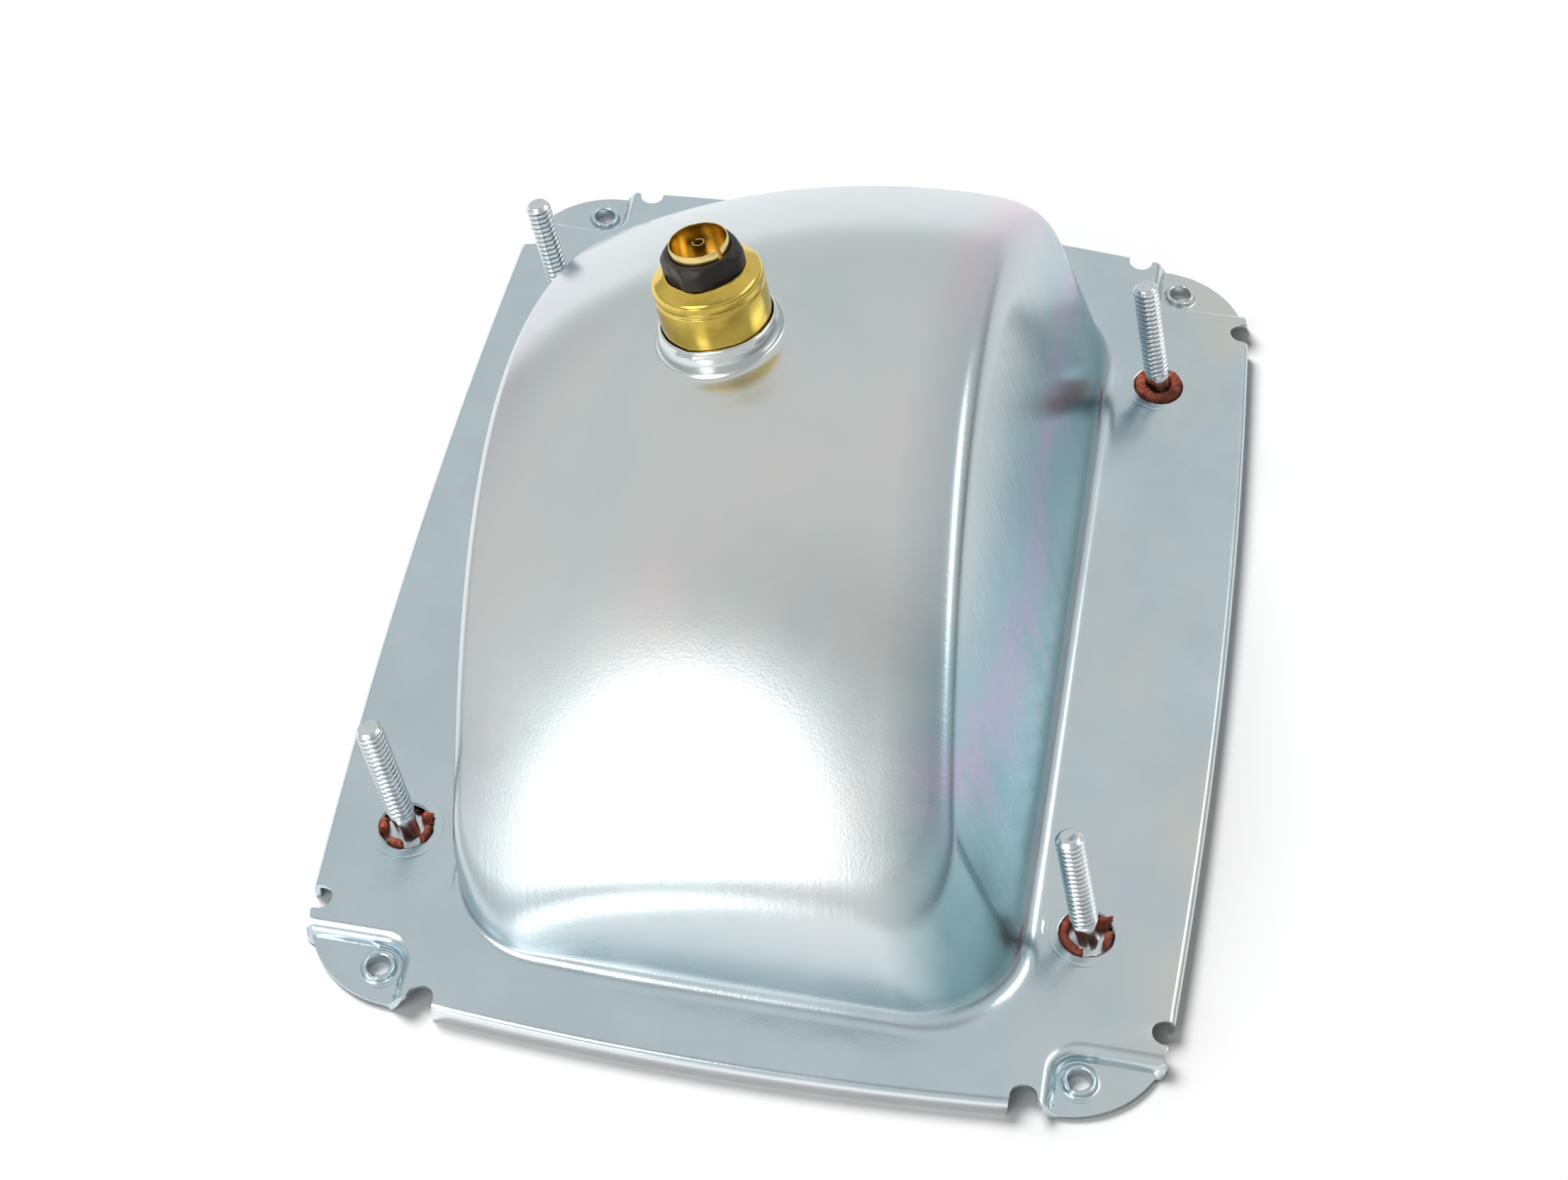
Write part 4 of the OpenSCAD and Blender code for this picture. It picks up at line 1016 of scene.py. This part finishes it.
def rolledTube(tube, levels=14):
    low, top, steps, rows = tube["low"], tube["top"], tube["steps"], []
    half = tube["gap"] / (2 * tube["radius"])
    for j in range(levels + 1):
        s = low + (top - low) * j / levels
        lip = smooth((s - (top - 0.5)) / 0.5)
        opened = tube["flare"] * smooth((s - low) / (top - low) * 1.6 - 0.5)
        outer, inner = [], []
        for i in range(steps + 1):
            t = i / steps
            a = math.radians(tube["slit"]) + half + (2 * math.pi - 2 * half) * t
            r = tube["radius"] - tube["turnsIn"] * t + opened * (bump((1 - t) / 0.05) + 0.6 * bump(t / 0.05))
            h = s - tube["nicks"] * max(0.0, wave(2 * a, 0.7)) * (j == levels)
            outer.append(onSocket(*around(0, 0, r - 0.12 * lip, a), h))
            inner.append(onSocket(*around(0, 0, r - tube["wall"] + 0.1 * lip, a), h))
        rows.append(outer + inner[::-1])
    verts, faces = loft(rows)
    n = len(rows[0])
    for base, way in ((0, 1), (levels * n, -1)):  # closes both ends
        for i in range(steps):
            faces.append((base + i, base + n - 1 - i, base + n - 2 - i, base + i + 1)[::way])
    return verts, faces


ringParts = ([], [])
addPart(ringParts, *rolledTube(ringTerminal))
addPart(ringParts, *spin(ringFoot["profile"], 72, onSocket))
ringTube = makeObject("ringTube", *ringParts, terminalBrass, sharp=45.0)
pinTube = makeObject("pinTube", *rolledTube(pinTerminal), terminalBrass, sharp=45.0)
print("socket pieces made")


# spring and filaments: one coil tree with its own sizes for each
def coilNodes(add, given):
    coil, wire = add("GeometryNodeCurveSpiral"), add("GeometryNodeCurvePrimitiveCircle")
    tube, move = add("GeometryNodeCurveToMesh"), add("GeometryNodeTransform")
    wire.inputs["Resolution"].default_value = 12
    tube.inputs["Fill Caps"].default_value = True
    return [(given["Turns"], coil.inputs["Rotations"]), (given["Points"], coil.inputs["Resolution"]),
            (given["Coil Radius"], coil.inputs["Start Radius"]), (given["Coil Radius"], coil.inputs["End Radius"]),
            (given["Length"], coil.inputs["Height"]), (given["Wire Radius"], wire.inputs["Radius"]),
            (coil.outputs["Curve"], tube.inputs["Curve"]), (wire.outputs["Curve"], tube.inputs["Profile Curve"]),
            (tube.outputs["Mesh"], move.inputs["Geometry"]), (given["Start"], move.inputs["Translation"]),
            (given["Lean"], move.inputs["Rotation"])], move.outputs["Geometry"]


coilTree = makeTree("coiledWire", (("Turns", "Float"), ("Coil Radius", "Float"), ("Length", "Float"),
                                   ("Wire Radius", "Float"), ("Points", "Int"), ("Start", "Vector"),
                                   ("Lean", "Rotation")), coilNodes)


def makeCoil(name, coil, wire, start, lean, material):
    values = {"Turns": coil["turns"], "Coil Radius": coil["radius"] * mm, "Length": coil["length"] * mm,
              "Wire Radius": wire * mm, "Points": coil["points"], "Start": tuple(Vector(start) * mm),
              "Lean": tuple(lean), "Material": material}
    piece = growPiece(name, bpy.data.meshes.new(name), coilTree, values)
    piece.data.polygons.foreach_set("use_smooth", [True] * len(piece.data.polygons))
    return piece


spring = {"turns": 4.0, "radius": 5.8, "length": 7.68, "wire": 0.4, "low": 0.44, "points": 40}
springCoil = makeCoil("springCoil", spring, spring["wire"], onSocket(0, 0, spring["low"]), leanEuler, springSteel)

# bulb: pressed base, blown glass and two coiled filaments
bulb = {"baseLow": -20.79, "glassTip": -49.79, "glassRadius": 13.0, "neckRadius": 6.98, "neckLength": 3.0,
        "glassSeat": 8.2, "wall": 0.7, "throatOut": 0.4, "throatAt": -26.2, "thin": 0.02, "steps": 96,
        "base": ((6.44, -4.29, 0), (7.58, -4.29, 0.6), (7.58, -16.6, 0.3), (7.42, -17.1, 0.3), (7.42, -17.7, 0.3),
                 (7.58, -18.2, 0.3), (7.58, -20.3, 0.3), (7.5, -20.79, 0.15), (7.22, -20.79, 0.1), (7.22, -4.75, 0.3),
                 (6.44, -4.75, 0), (6.44, -4.29, 0))}
filament = {"turns": 22.0, "radius": 0.19, "length": 5.9, "points": 12, "start": -2.95,
            "bright": {"y": 1.75, "level": -34.79, "wire": 0.06}, "dim": {"y": -1.75, "level": -37.79, "wire": 0.045}}


def glassProfile(d):
    middle, r, out = bulb["glassTip"] + bulb["glassRadius"], bulb["glassRadius"] - d, bulb["neckRadius"] - d
    top = bulb["baseLow"] + bulb["glassSeat"] - d
    path = [(bulb["thin"], top), (out, top), (out, bulb["baseLow"] - bulb["neckLength"])]
    arc = [around(0, middle, r, math.radians(35 - 5 * k)) for k in range(26)]
    arc = [(max(bulb["thin"], x), s) for x, s in arc]
    lean = Vector((out + bulb["throatOut"], bulb["throatAt"]))
    return path + [curve(Vector(path[-1]), lean, Vector(arc[0]), t) for t in (0.2, 0.4, 0.6, 0.8)] + arc


bulbBase = makeObject("bulbBase", *spin(roundedPath(bulb["base"]), bulb["steps"], onSocket), baseBrass, sharp=45.0)
glassBulb = makeObject("glassBulb", *spin(glassProfile(0.0), bulb["steps"], onSocket), clearGlass, sharp=50.0)
hollow = makeObject("glassHollow", *spin(glassProfile(bulb["wall"]), bulb["steps"], onSocket), clearGlass, sharp=50.0)
hollow.data.flip_normals()
work = bmesh.new()
for skin in (glassBulb, hollow):
    work.from_mesh(skin.data)
work.to_mesh(glassBulb.data)
work.free()
bpy.data.objects.remove(hollow)
alongX = (leanTurn @ Euler((0, math.radians(90), 0)).to_matrix()).to_euler()
filaments = {}
for name in ("bright", "dim"):
    own = filament[name]
    start = onSocket(filament["start"], own["y"], own["level"])
    filaments[name] = makeCoil("filamentCoil_" + name, filament, own["wire"], start, alongX, wireMetal)
print("spring and bulb made")

# finishes of the CAD solids that stay in view
for name, material in (("contact_plate", plateBoard), ("contact_bright", terminalBrass),
                       ("contact_dim", terminalBrass), ("bayonet_pins", baseBrass), ("base_insulator", baseGlass),
                       ("solder_contacts", solderTin), ("glass_stem", clearGlass), ("lead_wires", wireMetal)):
    nodes[name].data.materials.clear()
    nodes[name].data.materials.append(material)

riding = [(panSkin, "housing", "zinc_sheet", ("housing_pan",)), (neckRing, "housing", "zinc_sheet", ()),
          (earCollars, "housing", "zinc_sheet", ()),
          (studs, "housing", "stud_zinc", tuple("stud_" + name for name in cornerNames)),
          (studHeads, "housing", "stud_zinc", ()), (shellCap, "housing", "shell_brass", ("socket_shell",)),
          (shellBarrel, "housing", "shell_brass", ()), (bushPiece, "housing", "bush_phenolic", ("insulator_bush",)),
          (ringTube, "housing", "terminal_brass", ("ring_terminal",)),
          (pinTube, "housing", "terminal_brass", ("pin_terminal",)),
          (springCoil, "housing", "spring_steel", ("contact_spring",)),
          (bulbBase, "bulb", "base_brass", ("bulb_base",)), (glassBulb, "bulb", "clear_glass", ("bulb_glass",)),
          (filaments["bright"], "bulb", "wire", ("filament_bright",)),
          (filaments["dim"], "bulb", "wire", ("filament_dim",))]
riding += [(piece, "housing", "seal_rubber", ("seal_" + name,)) for name, piece in sealPieces.items()]
for piece, body, slotName, stands in riding:
    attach(piece, body)
    if stands:
        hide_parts(*stands)
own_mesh(springCoil)
print("pieces ride on their bodies")

# floor, light and camera
studio = {"floor": 3.0, "floorColour": (0.80, 0.80, 0.80), "floorGlow": 0.02, "ambient": 0.13, "white": 1.0,
          "horizon": 0.74, "zenith": 0.75, "zenithFrom": 0.55, "sideShade": 0.75, "leftShare": 0.45, "topShade": 0.35}
lamps = {"softboxFront": {"place": (-0.72, -0.96, 1.06), "target": (0.0, 0.0, 0.03), "size": (1.18, 0.92),
                          "power": 7.6, "roll": 43.0},
         "softboxLow": {"place": (-0.42, -1.15, 0.12), "target": (0.0, 0.0, 0.05), "size": (0.5, 0.3), "power": 0.95},
         "stripRight": {"place": (1.10, 0.42, 1.12), "target": (0.0, 0.0, 0.03), "size": (1.4, 0.4), "power": 3.6,
                        "lit": False},
         "softboxBack": {"place": (-2.48, 2.2, 3.68), "target": (0.0, 0.0, 0.0), "size": (2.8, 2.8), "power": 345.0,
                         "mirrored": False}}
view = {"sensor": 36.0, "lens": 67.7816, "shift": (0.011424, -0.008628), "place": (0.045923, -0.332465, 0.432866),
        "turn": (38.34924, -0.60329, 10.20119)}


def seenRays(graph):  # 1 for rays that look at the background, straight or through metal and glass
    path = graph.add("LightPath").outputs
    return path["Is Camera Ray"], graph.maths("MAXIMUM", path["Is Glossy Ray"], path["Is Transmission Ray"])


w = studio["floor"]
floorMesh = bpy.data.meshes.new("floor")
floorMesh.from_pydata([(-w, -w, 0), (w, -w, 0), (w, w, 0), (-w, w, 0)], [], [(0, 1, 2, 3)])
floor = bpy.data.objects.new("floor", floorMesh)
scene.collection.objects.link(floor)
floorFinish = bpy.data.materials.new("floorWhite")
floorFinish.use_nodes = True
graph = Graph(floorFinish.node_tree)
graph.tree.nodes.remove(graph.tree.nodes["Principled BSDF"])
diffuse, glow, total = graph.add("BsdfDiffuse"), graph.add("Emission"), graph.add("AddShader")
graph.link(studio["floorColour"], diffuse.inputs["Color"])
graph.link(graph.times(graph.maths("MAXIMUM", *seenRays(graph)), studio["floorGlow"]), glow.inputs["Strength"])
graph.link(diffuse.outputs[0], total.inputs[0])
graph.link(glow.outputs[0], total.inputs[1])
graph.link(total.outputs[0], graph.tree.nodes["Material Output"].inputs["Surface"])
floorMesh.materials.append(floorFinish)

world = bpy.data.worlds.new("studio")
scene.world = world
world.use_nodes = True
graph = Graph(world.node_tree)
ramp = graph.ramp
back = graph.tree.nodes["Background"]
graph.link((1, 1, 1), back.inputs["Color"])
straight, mirrored = seenRays(graph)
skyX, skyY, skyZ = graph.split(graph.add("TexCoord").outputs["Generated"])
sides = graph.plus(ramp(skyX, 0.4, 0.85), ramp(skyX, -0.4, -0.85, 0.0, studio["leftShare"]))
sides = graph.times(sides, ramp(skyZ, 0.05, 0.34, 1.0, 0.0))
overhead = graph.times(ramp(skyY, 0.05, -0.3), ramp(skyZ, 0.6, 0.9))
dome = graph.times(ramp(skyZ, 0.0, studio["zenithFrom"], studio["horizon"], studio["zenith"]),
                   ramp(sides, 0.0, 1.0, 1.0, 1.0 - studio["sideShade"]),
                   ramp(overhead, 0.0, 1.0, 1.0, 1.0 - studio["topShade"]))
strength = ramp(mirrored, 0.0, 1.0, studio["ambient"], dome)
graph.link(ramp(straight, 0.0, 1.0, strength, studio["white"]), back.inputs["Strength"])


def areaLight(name, place, target, size, power, roll=0.0, mirrored=True, lit=True):
    lamp = bpy.data.lights.new(name, "AREA")
    lamp.shape = "ELLIPSE"
    lamp.size, lamp.size_y = size
    lamp.energy = power
    holder = bpy.data.objects.new(name, lamp)
    scene.collection.objects.link(holder)
    holder.location = place
    aim = (Vector(target) - Vector(place)).to_track_quat("-Z", "Y")
    holder.rotation_euler = (aim @ Quaternion((0, 0, 1), math.radians(roll))).to_euler()
    holder.visible_glossy = mirrored
    holder.visible_diffuse = lit
    holder.visible_camera = False


for name, values in lamps.items():
    areaLight(name, **values)

camera = bpy.data.cameras.new("camera")
camera.sensor_fit, camera.sensor_width, camera.lens = "HORIZONTAL", view["sensor"], view["lens"]
camera.shift_x, camera.shift_y = view["shift"]
cameraHolder = bpy.data.objects.new("camera", camera)
scene.collection.objects.link(cameraHolder)
cameraHolder.location = view["place"]
cameraHolder.rotation_euler = tuple(math.radians(a) for a in view["turn"])
scene.camera = cameraHolder
scene.view_settings.view_transform = "Standard"

print("scene ready")
